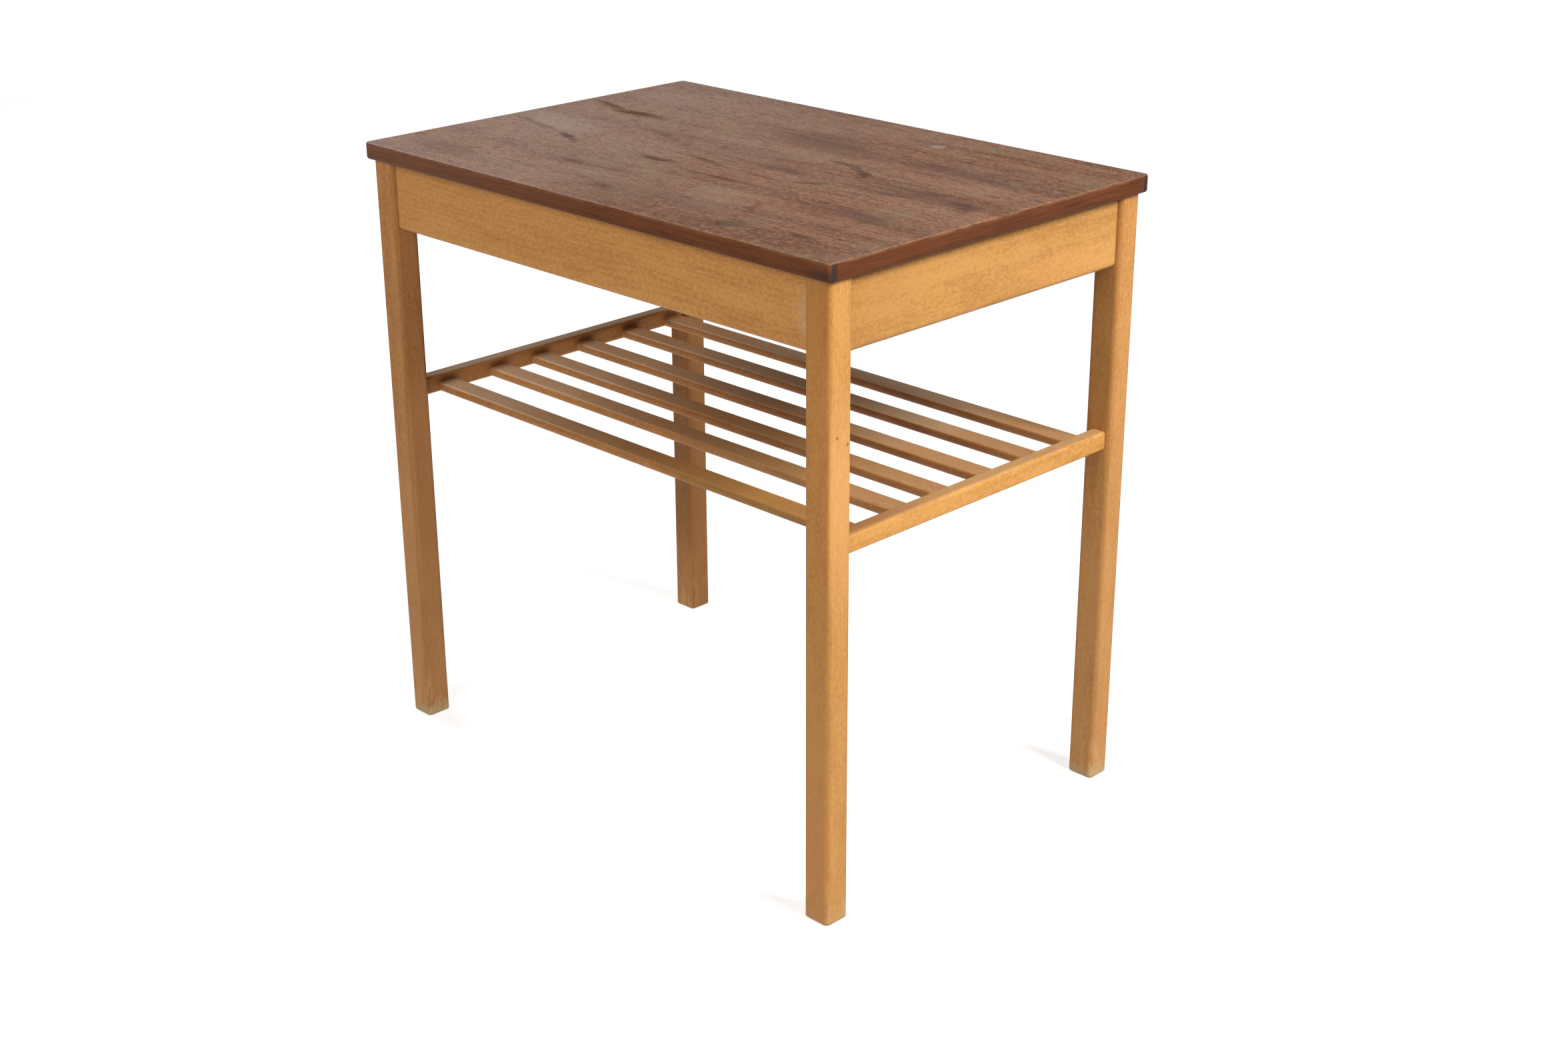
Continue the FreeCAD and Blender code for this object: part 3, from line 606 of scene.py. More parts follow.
def beech_finish(node, settings):
    """The lacquered beech of one piece of the frame, cut from its own part of the tree."""
    grain, seed, tone = BEECH_PIECES[node]
    wood = Finish(f"beech_{node}", settings, 0.16)
    wood.follow_grain(AXES[grain], seed, middle_of(node))
    pith = (0.035 + 0.045 * math.sin(seed), 0.07 + 0.02 * math.cos(seed))
    bands = wood.growth_bands(settings.band_spacing, pith)
    fibres, flecks = lay_beech(wood, tone, bands)
    patchy = wood.noise(0.02, 0.006, 3.0, 0.65)
    if node.startswith("leg"):
        wear_leg(wood, node, tone, patchy)
    else:
        wood.lay("rubbed", wood.arrises(node, 0.0042) * patchy.rise(0.42, 0.66) * 0.3, tone)
    if node.startswith("shelf_rail"):
        wear_rail(wood)
    if node.startswith("apron"):
        wear_apron(wood, node, tone, patchy)
    # Painted light and shade on this piece.
    for name, shade, strength, *steps in PAINTED_LIGHT_AND_SHADE.get(node, ()):
        wood.lay(name, wood.within(*steps) * strength, shade)
    roughness = settings.gloss + fibres * 0.12 + patchy * 0.06 - 0.1
    return wood.finish(roughness, fibres * 0.4 + bands * 0.25 - flecks * 0.5, FIGURE_BUMP)


def wear_leg(wood, node, tone, patchy):
    """A leg growing lighter towards its lower part, its arrises darkened as painted shade, its worn lower
    end, and what only one of the legs has.
    """
    wood.lay("rubbed", wood.z.rise(0.42, 0.15) * 0.22, toned(tone, (1.03, 0.97, 0.88)))
    # Painted shade along the leg's long arrises.
    wood.lay("handled", wood.arrises(node, 0.0058) * 0.4, tone)
    climb = wood.z + (patchy - 0.5) * 0.05
    wood.lay("rubbed", wood.noise(0.05, 0.012).rise(0.48, 0.6) * wood.z.rise(0.09, 0.01) * 0.5)
    wood.lay("worn", climb.rise(wood.settings.foot_band, 0.002) * FOOT_WEAR[node])
    wood.lay("grime", wood.z.rise(0.0035, 0.0005) * 0.35)
    if node == "leg_front_right":
        paler = wood.within(RIGHT_OUTSIDE, ("z", 0.26, 0.38), ("z", 0.51, 0.41))
        wood.lay("rubbed", paler * patchy.rise(0.1, 0.6, 0.3, 0.6), (1.12, 1.08, 1.0))
        for place in LEG_SPECKS:
            away = wood.vector("DISTANCE", wood.place, place, "Value")
            wood.lay("fleck", away.rise(0.0024, 0.0008) * 0.8)
    if node == "leg_back_left":
        # Painted shade on the back left leg's inner face and on its front face above the foot.
        shaded = wood.within(LEFT_INSIDE).most(wood.within(BACK_LEG_FRONT, ("z", 0.02, 0.12)))
        wood.lay("handled", shaded * 0.52, (0.75, 0.62, 0.6))


def wear_rail(wood):
    """Dust on a shelf rail, dirt and painted shadow round the slats' ends, and a darker front end on the
    right one.
    """
    wood.lay("dust", wood.dusty() * 1.5, (0.75, 0.75, 0.75))
    # Dirt and painted shadow on the inner face round each slat's end.
    from_slat = reduce(Value.least, [abs(wood.y - middle_of(slat).y) for slat in SLATS])
    dirt = from_slat.rise(0.018, 0.004) * wood.within(("z", 0.343, 0.3485), ("z", 0.356, 0.350))
    wood.lay("corner", dirt * abs(wood.x).rise(0.2775, 0.2765) * 0.5)
    # The right rail's top grows darker towards its front end.
    end = wood.within(("x", 0.0, 0.1), ("z", 0.3535, 0.3555), ("y", -0.02, -0.15, 0.12, 0.6))
    wood.lay("handled", end, (0.9, 0.8, 0.8))


def wear_apron(wood, node, tone, patchy):
    """Dirt and painted shade where an apron meets the legs, painted shade along its top edge, and a patch
    of dust on the front one.
    """
    half = max(size_of(node, axis) for axis in range(3)) / 2
    # Dirt and painted shade in the joint at each end.
    wood.lay("corner", abs(wood.along).rise(half - 0.0016, half - 0.0004) * 0.45)
    # Painted shade along the top edge, under the top's overhang.
    wood.lay("handled", wood.z.rise(0.556, 0.574) * 0.16, tone)
    if node == "apron_front":
        patch = wood.within(("x", 0.250, 0.266), ("z", 0.512, 0.532), ("z", 0.572, 0.548))
        wood.lay("dust", patch * patchy.rise(0.3, 0.6) * 0.4)


def slat_finish(settings):
    """The beech of the slats: each one cut from another board, with dust and painted light on its top, and
    painted shade on some tops and sides.
    """
    wood = Finish("beech_slats", settings, 0.22)
    number, middle = (wood.add("ShaderNodeAttribute", {"attribute_name": name}, output="Fac")
                      for name in ("slat_number", "slat_middle"))
    wood.follow_grain(AXES["X"], 5)
    shift = wood.combine(number * 3.1, number * 1.7, number * 0.9)
    wood.grain_place = wood.vector("ADD", wood.grain_place, shift)
    wander = wood.noise(0.25, 0.03, 2.0, 0.5) - 0.5
    bands = banded((wood.y + wander * BAND_WANDER + number * 0.37) / 0.0043 + wood.z * 40)
    fibres, flecks = lay_beech(wood, (0.80, 0.76, 0.78), bands)
    patchy = wood.noise(0.04, 0.008)
    # Painted light: more dust on the back slats' shaded middles, less at their left ends and on the first
    # slat's middle.
    lit_dust = wood.within(("y", 0.0, 0.12, 0.3, 1.0), ("x", -0.22, -0.02, -0.45, 1.7), ("x", 0.22, 0.10),
                         ("y", -0.02, 0.0))
    lit_dust = lit_dust - wood.within(("y", -0.10, -0.12), ("x", -0.06, 0.08)) * 0.8
    wood.lay("dust", wood.dusty() * patchy.rise(0.2, 0.8, 0.75, 1.0) * (lit_dust + 1.0))
    # Painted shade on the second and third slats, right of the middle.
    shaded = wood.within(("y", -0.11, -0.09), ("y", 0.02, 0.0), ("x", -0.04, 0.08), ("x", 0.24, 0.14))
    wood.lay("handled", shaded * 0.6, (0.9, 1.1, 1.4))
    # Painted shade on the first slat, right of the middle.
    first = wood.within(("y", -0.12, -0.14), ("x", 0.02, 0.12))
    wood.lay("handled", first * 0.55, (0.95, 1.15, 1.2))
    # Painted shade on the front sides of the third to sixth slats, towards the right.
    side = (wood.y - middle).rise(-0.0100, -0.0116)
    side = side * wood.within(("x", -0.2, 0.06), ("x", 0.27, 0.12, 0.35, 1.0), ("y", -0.07, -0.02))
    wood.lay("handled", side * 0.8, (0.55, 0.38, 0.4))
    edge = abs(wood.y - middle).rise(0.0085, 0.0112) * patchy.rise(0.4, 0.7)
    wood.lay("rubbed", edge * 0.12)
    roughness = settings.gloss + fibres * 0.12 - 0.08
    return wood.finish(roughness, fibres * 0.4 - flecks * 0.5, FIGURE_BUMP)


def veneer_finish(settings, worn):
    """Teak veneer laid along the top. The upper one is worn, marked and hazy, with painted sheen towards
    its left end.
    """
    wood = Finish("teak_veneer_worn" if worn else "teak_veneer_under", settings, 0.06)
    wood.follow_grain(AXES["X"], 11)
    length, width = settings.streak_length, settings.streak_width
    figure = wood.noise(length * 4, width * 7, 3.0, 0.55, 0.3)
    streaks = wood.noise(length, width, 4.0, 0.62, 0.2)
    dashes = wood.noise(length * 0.45, width * 0.5, 2.0, 0.55)
    fibres = wood.noise(0.02, 0.0007)
    grains = wood.noise(0.0042, 0.0026, 2.0)
    pores = wood.specks(0.004, 0.0006, 0.4)
    mottle = wood.noise(0.012, 0.008, 3.0, 0.65)
    wood.start("veneer")
    wood.lay("warm", figure.rise(0.36, 0.64))
    wood.lay("streak", streaks.rise(0.46, 0.66) * 0.6)
    wood.lay("streak", dashes.rise(0.56, 0.70) * 0.5)
    wood.lay("warm", grains.rise(0.46, 0.70) * 0.42, (1.75, 1.8, 1.8))
    wood.lay("streak", pores * 0.35 + grains.rise(0.48, 0.26) * 0.42, (0.8, 0.8, 0.8))
    wood.lay("warm", fibres.rise(0.55, 0.75) * 0.2, (1.25, 1.1, 1.0))
    roughness = settings.gloss + (mottle - 0.5) * 0.2 + fibres * 0.08
    if worn:
        roughness = wear_top(wood, roughness, streaks, mottle)
    return wood.finish(roughness, fibres * 0.5 - pores * 0.8 - streaks * 0.2, VENEER_BUMP)


def wear_top(wood, roughness, streaks, mottle):
    """Dulled lacquer and painted sheen, smudges, marks and scuffs in the upper veneer. Returns its
    roughness.
    """
    ragged = wood.noise(0.022, 0.006, 3.0, 0.65, output="Color")
    offset = wood.vector("SUBTRACT", ragged, (0.5, 0.5, 0.5))
    shaken = wood.vector("ADD", wood.place, wood.vector("MULTIPLY", offset, (0.03, 0.016, 0.0)))
    cloud = wood.noise(0.14, 0.09, 3.0, 0.55)
    tint = wood.noise(0.05, 0.035)
    spots = wood.noise(0.024, 0.010, 3.0, 0.65)
    dots = wood.noise(0.0040, 0.0030, 2.0)
    hazy = wood.x.rise(0.2, -0.2)
    # The dulled lacquer's clouds, with painted sheen growing towards the left end.
    dull_and_sheen = cloud.rise(0.3, 0.75) * 0.14 + mottle.rise(0.4, 0.75) * 0.1 + wood.x.rise(0.2, -0.32) * 0.40
    wood.lay("haze", dull_and_sheen)
    wood.lay("streak", dots.rise(0.50, 0.28) * hazy * 0.4)
    wood.lay("haze", dots.rise(0.50, 0.72) * hazy * 0.3, (1.1, 1.0, 0.95))
    wood.lay("green_haze", tint.rise(0.48, 0.72) * 0.3)
    wood.lay("smudge", spots.rise(0.54, 0.72) * 0.42)
    wood.lay("smudge", wood.marks(SMUDGES, shaken) * streaks.rise(0.25, 0.55, 0.45, 1.0))
    wood.lay("brown_mark", wood.marks(BROWN_MARKS, shaken) * streaks.rise(0.3, 0.5, 0.6, 1.0))
    broken = streaks.rise(0.25, 0.6, 0.35, 0.85) * spots.rise(0.3, 0.6, 0.6, 1.0)
    wood.lay("dark_mark", wood.marks(DARK_MARKS, shaken) * broken)
    # A whitish scuff and pale patches, one of them painted sheen on the left.
    pale = wood.marks(PALE_MARKS_AND_SHEEN, shaken)
    wood.lay("scuff", pale)
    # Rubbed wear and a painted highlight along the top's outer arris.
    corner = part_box("top_veneer")[1]
    inward = (corner.x - abs(wood.x)).least(corner.y - abs(wood.y))
    wood.lay("rubbed", inward.rise(0.0024, 0.0004) * mottle.rise(0.35, 0.65) * 0.3)
    return roughness + cloud * 0.12 - 0.06 + pale * 0.1


def lipping_finish(node, settings):
    """Solid teak along one edge of the top, darker where its end grain shows; painted shade and light on
    it.
    """
    grain, seed, tone = LIPPINGS[node]
    wood = Finish(f"teak_{node}", settings, 0.12)
    wood.follow_grain(AXES[grain], seed)
    lines = wood.noise(0.05, 0.0016, 4.0)
    drift = wood.noise(0.12, 0.02, 2.0, 0.5)
    pores = wood.specks(0.006, 0.0007, 0.42)
    wood.start("lipping", tone)
    wood.lay("lipping_dark", lines.rise(0.4, 0.7) * 0.7 + drift.rise(0.4, 0.7) * 0.25, tone)
    wood.lay("lipping_dark", pores * 0.5, (0.7, 0.7, 0.7))
    # Painted shade towards the lower edge, above the apron.
    wood.lay("lipping_dark", wood.z.rise(0.583, 0.576) * 0.3)
    # Rubbed wear and a painted highlight along the top arris.
    wood.lay("rubbed", wood.z.rise(0.5862, 0.5890) * wood.noise(0.03, 0.01).rise(0.35, 0.6) * 0.5)
    if grain == "X":
        # Painted light towards the left end of the front and back lippings.
        wood.lay("haze", wood.x.rise(0.1, -0.3) * 0.2, (0.9, 0.7, 0.55))
        rings = wood.noise(0.02, 0.0012, 2.0, 0.5)
        wood.lay("end_grain", abs(wood.x).rise(0.2990, 0.2996) * rings.rise(0.2, 0.6, 0.75, 1.0))
        smudge = wood.within(("x", 0.264, 0.292), ("z", 0.574, 0.576), ("z", 0.5865, 0.580))
        wood.lay("stain", smudge * 0.6)
    return wood.finish(settings.gloss + lines * 0.12 - 0.02, lines * 0.4 - pores * 0.6, FIGURE_BUMP)


def block_finish(node, settings, along, seed):
    """Sawn wood, with the saw's marks across the grain."""
    wood = Finish(f"sawn_{node}", settings, 0.25)
    wood.follow_grain(along, seed, middle_of(node))
    bands = wood.growth_bands(0.0031, (0.05, 0.03))
    fibres = wood.noise(0.03, 0.0012)
    strokes = wood.noise(0.0011, 0.012, 2.0, 0.5)
    wood.start("block")
    wood.lay("block_band", bands * 0.6 + fibres.rise(0.4, 0.7) * 0.35)
    wood.lay("block", strokes.rise(0.5, 0.7) * 0.25, (1.15, 1.15, 1.2))
    return wood.finish(0.66 + fibres * 0.14, fibres * 0.5 + strokes * 0.6, SAWN_BUMP)


def dowel_finish(node, grain, seed, settings):
    """Turned hardwood dowels."""
    wood = Finish(f"turned_{node}", settings, 0.25)
    wood.follow_grain(AXES[grain], seed)
    fibres = wood.noise(0.02, 0.0007)
    wood.start("dowel")
    wood.lay("dowel", fibres.rise(0.4, 0.7), (0.75, 0.7, 0.62))
    return wood.finish(0.6 + fibres * 0.15, fibres, TURNED_BUMP)


def core_finish(settings):
    """Pressed chips of wood, seen only where the top is open."""
    board = Finish("chipboard_core", settings, 0.2)
    board.follow_grain(AXES["X"], 7)
    away, tint = board.cells(board.vector("MULTIPLY", board.grain_place, (260.0, 900.0, 420.0)))
    board.start("core")
    board.lay("core_dark", tint.rise(0.2, 1.0))
    return board.finish(0.75 + tint * 0.15, away, CHIP_BUMP)


def steel_finish(settings):
    """Plain steel screws, turned bright and dulled by age."""
    steel = Finish("steel_screws", settings, Metallic=1.0)
    steel.follow_grain(AXES["Z"], 3)
    cloud = steel.noise(0.004, 0.004)
    lathe = steel.noise(0.02, 0.0002, 2.0, 0.5)
    steel.start("steel")
    steel.lay("tarnish", cloud.rise(0.42, 0.7) * 0.8)
    return steel.finish(0.3 + cloud * 0.3 + lathe * 0.1, lathe, LATHE_BUMP)


class PieceTree(NodeTree):
    """A Geometry Nodes tree with named inputs, which makes one group of like pieces."""

    def __init__(self, name, labels):
        super().__init__(bpy.data.node_groups.new(name, "GeometryNodeTree"))
        face = self.tree.interface
        kinds = {"Seats": "Geometry", **dict.fromkeys(labels, "Float"), "Seed": "Int", "Finish": "Material"}
        self.identifiers = {}
        for label, kind in kinds.items():
            socket = face.new_socket(label, in_out="INPUT", socket_type=f"NodeSocket{kind}")
            self.identifiers[label] = socket.identifier
        face.new_socket("Pieces", in_out="OUTPUT", socket_type="NodeSocketGeometry")
        self.given = self.tree.nodes.new("NodeGroupInput")

    def input(self, label):
        """What comes into the tree under a name."""
        return Value(self, self.given.outputs[label])

    def join(self, *parts):
        """Several geometries as one."""
        node = self.tree.nodes.new("GeometryNodeJoinGeometry")
        for part in parts:
            self.tree.links.new(part.socket, node.inputs[0])
        return Value(self, node.outputs[0])

    def prism(self, curve, profile, scale=1.0):
        """A closed solid of one profile drawn along a curve, larger or smaller where scale says so."""
        return self.add("GeometryNodeCurveToMesh", None,
                        {"Curve": curve, "Profile Curve": profile, "Scale": scale, "Fill Caps": True})

    def turning(self, curve, radius):
        """A round solid drawn along a curve, welded where it comes to a point."""
        circle = self.add("GeometryNodeCurvePrimitiveCircle", {"mode": "RADIUS"},
                          {"Resolution": SCREW_ROUND, "Radius": 1.0})
        solid = self.prism(curve, circle, radius.most(LEAST_RADIUS))
        return self.add("GeometryNodeMergeByDistance", None, {"Geometry": solid, "Distance": WELD})

    def axis(self, start, end, count):
        """A straight curve with that many points."""
        line = self.add("GeometryNodeCurvePrimitiveLine", None, {"Start": start, "End": end})
        return self.add("GeometryNodeResampleCurve", None, {"Curve": line, "Count": count})

    def cuboid(self, size, place):
        """A cuboid round a place."""
        cube = self.add("GeometryNodeMeshCube", None, {"Size": self.combine(*size)})
        return self.add("GeometryNodeTransform", None,
                        {"Geometry": cube, "Translation": self.combine(*place)})

    def position(self):
        """The three numbers of each point's place."""
        return self.parts(self.add("GeometryNodeInputPosition"))

    def moved(self, geometry, offset):
        """The geometry with each point moved by its own offset."""
        return self.add("GeometryNodeSetPosition", None, {"Geometry": geometry, "Offset": offset})

    def kept(self, name, kind):
        """What is kept on the geometry under a name."""
        return self.add("GeometryNodeInputNamedAttribute", {"data_type": kind}, {"Name": name})

    def keep(self, geometry, name, entry):
        """Keeps a number on each instance under a name."""
        return self.add("GeometryNodeStoreNamedAttribute", {"data_type": "FLOAT", "domain": "INSTANCE"},
                        {"Geometry": geometry, "Name": name, "Value": entry})

    def chance(self, sockets):
        """A random number, drawn with the tree's seed."""
        return self.add("FunctionNodeRandomValue", {"data_type": "FLOAT"},
                        {**sockets, "Seed": self.input("Seed")}, 1)

    def end(self, whole, crease):
        """Ends the tree: smooth faces that meet in a line above the crease's angle, and the finish."""
        smooth = self.add("GeometryNodeSetShadeSmooth", {"domain": "FACE"},
                          {"Geometry": whole, "Shade Smooth": True})
        turn = self.add("GeometryNodeInputMeshEdgeAngle")
        crisp = turn.above(math.radians(crease))
        shaded = self.add("GeometryNodeSetShadeSmooth", {"domain": "EDGE"},
                          {"Geometry": smooth, "Selection": crisp, "Shade Smooth": False})
        covered = self.add("GeometryNodeSetMaterial", None,
                           {"Geometry": shaded, "Material": self.input("Finish")})
        self.add("NodeGroupOutput", None, {"Pieces": covered})
        return self

    def make(self, name, settings, entries, start=None):
        """Runs the tree on the settings that its inputs are named after, and keeps a plain mesh."""
        kinds = settings.bl_rna.properties
        given = {kinds[key].name: getattr(settings, key) for key in settings.__annotations__}
        given.update(entries)
        start = start or bpy.data.meshes.new(f"{name}_start")
        piece = new_object(name, start)
        modifier = piece.modifiers.new("pieces", "NODES")
        modifier.node_group = self.tree
        for label, identifier in self.identifiers.items():
            if label != "Seats":
                modifier[identifier] = given[label]
        graph = bpy.context.evaluated_depsgraph_get()
        mesh = bpy.data.meshes.new_from_object(piece.evaluated_get(graph), preserve_all_data_layers=True,
                                               depsgraph=graph)
        if not mesh.polygons:
            raise RuntimeError(f"{name} came out empty")
        piece.modifiers.clear()
        piece.data = mesh
        mesh.name = name
        bpy.data.meshes.remove(start)
        return piece


def slat_tree():
    """The tree that sets out the slats between the two rails."""
    places = [f"Place of slat {number}" for number in INNER_SLATS]
    tree = PieceTree("Shelf slats", ("Width", "Thickness", "Arris radius", "Length", "Tenon length",
                                     "Tenon width", "Tenon thickness", "First slat", "Last slat",
                                     "Height", "Bow", *places))
    half = tree.input("Length") * 0.5
    section = tree.add("GeometryNodeCurvePrimitiveQuadrilateral", {"mode": "RECTANGLE"},
                       {"Width": tree.input("Width"), "Height": tree.input("Thickness")})
    section = tree.add("GeometryNodeFilletCurve", {"mode": "POLY"},
                       {"Curve": section, "Count": SLAT_ROUND, "Radius": tree.input("Arris radius"),
                        "Limit Radius": True})
    body = tree.prism(tree.axis(tree.combine(-half, 0, 0), tree.combine(half, 0, 0), SLAT_RUN), section)
    tenon = tree.input("Tenon length")
    size = (tenon + OVERLAP, tree.input("Tenon width"), tree.input("Tenon thickness"))
    out = half + tenon * 0.5 - OVERLAP / 2
    slat = tree.join(body, tree.cuboid(size, (out, 0, 0)), tree.cuboid(size, (-out, 0, 0)))
    number = tree.add("GeometryNodeInputIndex")
    between = {k: tree.input(place) for k, place in enumerate(places, start=2)}
    place = tree.add("GeometryNodeIndexSwitch", {"data_type": "FLOAT", "items": len(SLATS)},
                     {0: number, 1: 0.0, **between, len(SLATS): 1.0})
    first = tree.input("First slat")
    line = first + place * (tree.input("Last slat") - first)
    points = tree.add("GeometryNodePoints", None,
                      {"Count": len(SLATS), "Position": tree.combine(0, line, tree.input("Height"))})
    rows = tree.add("GeometryNodeInstanceOnPoints", None, {"Points": points, "Instance": slat})
    x, y = tree.position()[:2]
    rows = tree.keep(tree.keep(rows, "slat_middle", y), "slat_number", number)
    whole = tree.add("GeometryNodeRealizeInstances", None, {"Geometry": rows})
    along = x / half
    chance = tree.chance({"ID": tree.kept("slat_number", "FLOAT")})
    sag = (1 - along * along).most(0.0) * tree.input("Bow") * chance
    return tree.end(tree.moved(whole, tree.combine(0, 0, -sag)), SLAT_CREASE)


def screw_tree():
    """The tree that makes a slotted round-head screw and puts one in each seat."""
    tree = PieceTree("Slotted screws", ("Head diameter", "Head height", "Shank diameter", "Slot width",
                                        "Slot depth", "Pitch", "Thread depth", "Tip", "Length"))
    top, length = -tree.input("Head height"), tree.input("Length")
    way = tree.add("GeometryNodeSplineParameter")
    swell = (way * 2 - way * way).most(0.0).root() * tree.input("Head diameter") * 0.5
    head = tree.turning(tree.axis(tree.combine(0, 0, top), (0, 0, 0), HEAD_RUN), swell)
    size = (tree.input("Head diameter") * CUTTER_LENGTH, tree.input("Slot width"),
            tree.input("Slot depth") * 2)
    head = tree.add("GeometryNodeMeshBoolean", {"operation": "DIFFERENCE", "solver": "EXACT"},
                    {"Mesh 1": head, "Mesh 2": tree.cuboid(size, (0, 0, top))})
    reach = way * (length + NECK) - NECK
    taper = ((length - reach) / tree.input("Tip")).least(1.0) * tree.input("Shank diameter") * 0.5
    shank = tree.turning(tree.axis((0, 0, -NECK), tree.combine(0, 0, length), SHANK_RUN), taper)
    x, y, z = tree.position()
    turn = y.turn_to(x) / (2 * math.pi)
    groove = abs((z / tree.input("Pitch") - turn) % 1.0 - 0.5) * 2
    cut = groove * z.rise(*THREAD_START) * tree.input("Thread depth")
    outward = tree.vector("NORMALIZE", tree.combine(x, y, 0), (0, 0, 0))
    shank = tree.moved(shank, tree.vector("MULTIPLY", outward, tree.combine(-cut, -cut, 0)))
    turned = tree.add("FunctionNodeAlignRotationToVector", {"axis": "Z"},
                      {"Vector": tree.kept("way_in", "FLOAT_VECTOR")})
    about = tree.combine(0, 0, tree.chance({3: math.pi}))
    spin = tree.add("FunctionNodeEulerToRotation", None, {0: about})
    turned = tree.add("FunctionNodeRotateRotation", {"rotation_space": "LOCAL"}, {0: turned, 1: spin})
    screw = tree.join(head, shank)
    rows = tree.add("GeometryNodeInstanceOnPoints", None,
                    {"Points": tree.input("Seats"), "Instance": screw, "Rotation": turned})
    return tree.end(tree.add("GeometryNodeRealizeInstances", None, {"Geometry": rows}), SCREW_CREASE)


def seats(name, places):
    """A mesh with one point under each screw's head, which also keeps the way that the screw goes in."""
    mesh = bpy.data.meshes.new(name)
    mesh.from_pydata([place for place, way_in in places], [], [])
    ways = mesh.attributes.new("way_in", "FLOAT_VECTOR", "POINT")
    for point, (place, way_in) in zip(ways.data, places):
        point.vector = way_in
    return mesh


def new_object(name, data):
    """A new object at the origin of the scene."""
    made = bpy.data.objects.new(name, data)
    bpy.context.scene.collection.objects.link(made)
    return made


class BEDSIDE_OT_finish_frame(bpy.types.Operator):
    """Lays lacquered beech on the legs, the aprons and the shelf's rails"""
    bl_idname = "bedside_table.finish_frame"
    bl_label = "Beech frame"

    def execute(self, context):
        for node in BEECH_PIECES:
            paint(node, beech_finish(node, context.scene.bedside_table.beech))
        return {"FINISHED"}


class BEDSIDE_OT_finish_top(bpy.types.Operator):
    """Lays worn teak on the top's veneers and lippings, and chips in its core"""
    bl_idname = "bedside_table.finish_top"
    bl_label = "Teak top"

    def execute(self, context):
        settings = context.scene.bedside_table.teak
        paint("top_veneer", veneer_finish(settings, True))
        paint("backing_veneer", veneer_finish(settings, False))
        for node in LIPPINGS:
            paint(node, lipping_finish(node, settings))
        paint("tabletop_core", core_finish(context.scene.bedside_table.joinery))
        return {"FINISHED"}


class BEDSIDE_OT_make_slats(bpy.types.Operator):
    """Makes the shelf's six slats between the rails"""
    bl_idname = "bedside_table.make_slats"
    bl_label = "Shelf slats"

    def execute(self, context):
        table = context.scene.bedside_table
        sizes = table.slats
        first, last = middle_of(SLATS[0]), middle_of(SLATS[-1])
        entries = {"Tenon length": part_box(SLATS[0])[1].x - sizes.length / 2, "Height": first.z,
                   "First slat": first.y, "Last slat": last.y, "Finish": slat_finish(table.beech)}
        for number, place in zip(INNER_SLATS, sizes.places):
            entries[f"Place of slat {number}"] = place
        slats = slat_tree().make("shelf_slats", sizes, entries)
        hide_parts(*SLATS)
        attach(slats, "root")
        return {"FINISHED"}


class BEDSIDE_OT_finish_joinery(bpy.types.Operator):
    """Lays sawn wood on the corner blocks and turned wood on the dowels"""
    bl_idname = "bedside_table.finish_joinery"
    bl_label = "Blocks and dowels"

    def execute(self, context):
        settings = context.scene.bedside_table.joinery
        for seed, node in enumerate(BLOCKS, start=2):
            centre = middle_of(node)
            along = (1, -1, 0) if centre.x * centre.y > 0 else (1, 1, 0)
            paint(node, block_finish(node, settings, along, seed))
        for node, grain, seed in (("long_apron_dowels", "X", 4), ("side_apron_dowels", "Y", 6)):
            paint(node, dowel_finish(node, grain, seed, settings))
        return {"FINISHED"}


class BEDSIDE_OT_make_screws(bpy.types.Operator):
    """Makes the screws that hold the top and the corner blocks"""
    bl_idname = "bedside_table.make_screws"
    bl_label = "Screws"

    def execute(self, context):
        sizes = context.scene.bedside_table.screws
        finish = steel_finish(sizes)
        tree = screw_tree()
        head = sizes.head_diameter / 2
        sides = [(sx, sy) for sx in (-1, 1) for sy in (-1, 1)]
        low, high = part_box("top_screws")
        spot = (high.x - head, high.y - head, low.z + sizes.head_height)
        upright = [((sx * spot[0], sy * spot[1], spot[2]), (0, 0, 1)) for sx, sy in sides]
        self.put(tree, "top_screw_set", "top_screws", upright, high.z - spot[2], finish, sizes)
        low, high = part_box("block_screws")
        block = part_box("corner_block_back_right")
        length = size_of("block_screws", 0) / 2 - (block[1].x - GRIP)
        along = (block[0].x + WELL, block[0].y + WELL)
        level = (low.z + high.z) / 2
        sideways = []
        for sx, sy in sides:
            sideways.append(((sx * along[0], sy * (high.y - length), level), (0, sy, 0)))
            sideways.append(((sx * (high.x - length), sy * along[1], level), (sx, 0, 0)))
        self.put(tree, "block_screw_set", "block_screws", sideways, length, finish, sizes)
        return {"FINISHED"}

    def put(self, tree, name, node, places, length, finish, sizes):
        """Makes one set of screws of one length."""
        entries = {"Length": length, "Finish": finish}
        screws = tree.make(name, sizes, entries, seats(f"{name}_seats", places))
        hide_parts(node)
        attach(screws, "root")


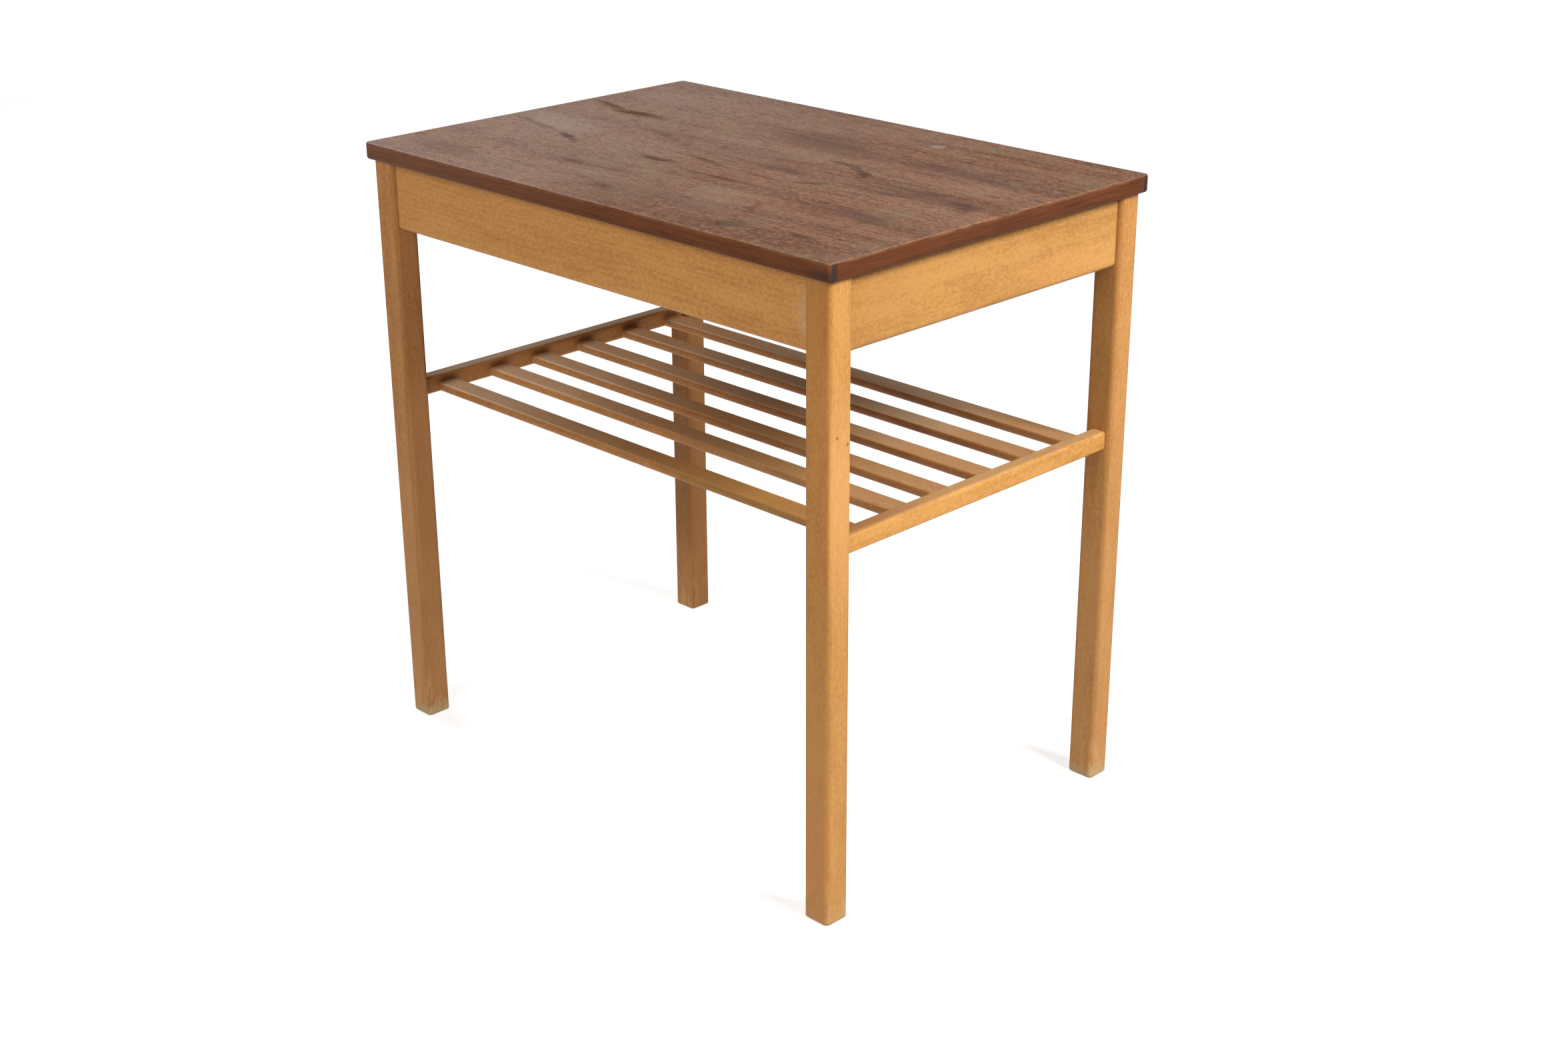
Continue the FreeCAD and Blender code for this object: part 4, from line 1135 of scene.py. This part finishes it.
class BEDSIDE_OT_set_stage(bpy.types.Operator):
    """Sets up the pale floor, the soft light and the camera"""
    bl_idname = "bedside_table.set_stage"
    bl_label = "Floor, light and camera"

    def execute(self, context):
        settings = context.scene.bedside_table.stage
        self.lay_floor(settings)
        self.set_light(context, settings)
        self.set_camera(context, settings)
        context.scene.view_settings.view_transform = "Standard"
        return {"FINISHED"}

    def lay_floor(self, settings):
        """A round, even floor just under the feet, whose rim rises as a wide cove."""
        form = bmesh.new()
        bmesh.ops.create_circle(form, cap_ends=True, radius=settings.floor_reach, segments=96)
        rim = list(form.edges)
        for turn in range(COVE_STEP, 91, COVE_STEP):
            bend = math.radians(turn)
            reach = settings.floor_reach + settings.cove * math.sin(bend)
            raised = bmesh.ops.extrude_edge_only(form, edges=rim)["geom"]
            rim = [part for part in raised if isinstance(part, bmesh.types.BMEdge)]
            for corner in (part for part in raised if isinstance(part, bmesh.types.BMVert)):
                level = Vector((corner.co.x, corner.co.y, 0)).normalized() * reach
                corner.co = (level.x, level.y, settings.cove * (1 - math.cos(bend)))
        bmesh.ops.recalc_face_normals(form, faces=form.faces)
        if form.faces[0].normal.z < 0:
            bmesh.ops.reverse_faces(form, faces=form.faces)
        for face in form.faces:
            face.smooth = True
        mesh = bpy.data.meshes.new("pale_floor")
        form.to_mesh(mesh)
        form.free()
        mesh.materials.append(self.floor_finish(settings))
        floor = new_object("pale_floor", mesh)
        floor.visible_diffuse = False
        floor.visible_glossy = False
        floor.visible_shadow = False

    def floor_finish(self, settings):
        """An even, pale floor that glows towards its rim."""
        ground = Finish("pale_floor", settings, 0.1, **{"Emission Strength": 1.0})
        ground.follow_grain(AXES["X"], 1)
        cloud = ground.noise(0.6, 0.6, 2.0, 0.5)
        ground.start("floor")
        ground.lay("floor", cloud, (0.985, 0.985, 0.98))
        away = ground.vector("LENGTH", ground.place, (0, 0, 0), "Value")
        near, far = ((glow, glow, glow) for glow in (settings.floor_glow, settings.cove_glow))
        ground.constants["Emission Color"] = ground.mix(near, far, away.rise(*GLOW_SPAN))
        return ground.finish(0.8 + cloud * 0.1)

    def set_light(self, context, settings):
        """Soft light high on the right, weaker in front and on the left, and the floor's bounce."""
        world = bpy.data.worlds.new("white_room")
        world.use_nodes = True
        room = NodeTree(world.node_tree)
        room.tree.nodes.clear()
        up = room.parts(room.add("ShaderNodeTexCoord"))[2]
        above = up.rise(0.1, 0.8, 0.0, settings.sky - settings.walls)
        below = up.rise(-0.38, -0.12, settings.bounce, settings.walls)
        glow = room.add("ShaderNodeBackground", None, {"Color": (1, 1, 1, 1), "Strength": above + below})
        room.add("ShaderNodeOutputWorld", None, {"Surface": glow})
        context.scene.world = world
        for name in ("key", "fill", "side"):
            self.hang(name, *(getattr(settings, name + part) for part in ("", "_size", "_way")))

    def hang(self, name, watts, size, way):
        """A square soft light that faces the table from one way."""
        data = bpy.data.lights.new(f"{name}_light", "AREA")
        data.shape = "SQUARE"
        data.size = size
        data.energy = watts
        light = new_object(f"{name}_light", data)
        way = Vector(way).normalized()
        turn = way.to_track_quat("Z", "Y").to_matrix().to_4x4()
        light.matrix_world = Matrix.Translation(LAMP_AIM + way * LAMP_AWAY) @ turn
        light.visible_camera = False

    def set_camera(self, context, settings):
        """The camera where the photographer stood."""
        a, e, r = settings.azimuth, settings.elevation, settings.roll
        back = Vector((math.sin(a) * math.cos(e), -math.cos(a) * math.cos(e), math.sin(e)))
        level = Vector((math.cos(a), math.sin(a), 0))
        rise = back.cross(level)
        right = level * math.cos(r) + rise * math.sin(r)
        up = rise * math.cos(r) - level * math.sin(r)
        data = bpy.data.cameras.new("camera")
        data.sensor_fit = "HORIZONTAL"
        data.sensor_width = 36.0
        data.lens = settings.lens
        data.clip_end = 100.0
        camera = new_object("camera", data)
        turn = Matrix((right, up, back)).transposed().to_4x4()
        camera.matrix_world = Matrix.Translation(Vector(settings.target) + back * settings.away) @ turn
        context.scene.camera = camera


OPERATORS = (
    BEDSIDE_OT_set_stage,
    BEDSIDE_OT_finish_frame,
    BEDSIDE_OT_finish_top,
    BEDSIDE_OT_make_slats,
    BEDSIDE_OT_finish_joinery,
    BEDSIDE_OT_make_screws,
)


class BEDSIDE_PT_pieces(bpy.types.Panel):
    """The table's pieces and settings, in the sidebar"""
    bl_idname = "BEDSIDE_PT_pieces"
    bl_label = "Bedside table"
    bl_space_type = "VIEW_3D"
    bl_region_type = "UI"
    bl_category = "Bedside table"

    def draw(self, context):
        table = context.scene.bedside_table
        for operator in OPERATORS:
            self.layout.operator(operator.bl_idname, text=operator.bl_label)
        for group in table.__annotations__:
            box = self.layout.box()
            box.label(text=group.capitalize())
            settings = getattr(table, group)
            for name in settings.__annotations__:
                box.prop(settings, name)


CLASSES = (
    BeechSettings,
    TeakSettings,
    SlatSettings,
    ScrewSettings,
    JoinerySettings,
    StageSettings,
    BedsideTableSettings,
    *OPERATORS,
    BEDSIDE_PT_pieces,
)


def register():
    for entry in CLASSES:
        bpy.utils.register_class(entry)
    bpy.types.Scene.bedside_table = PointerProperty(type=BedsideTableSettings)


def unregister():
    del bpy.types.Scene.bedside_table
    for entry in reversed(CLASSES):
        bpy.utils.unregister_class(entry)


def main():
    """Makes the whole table and its stage."""
    register()
    for operator in OPERATORS:
        group, name = operator.bl_idname.split(".")
        getattr(getattr(bpy.ops, group), name)()


if __name__ == "__main__":
    main()
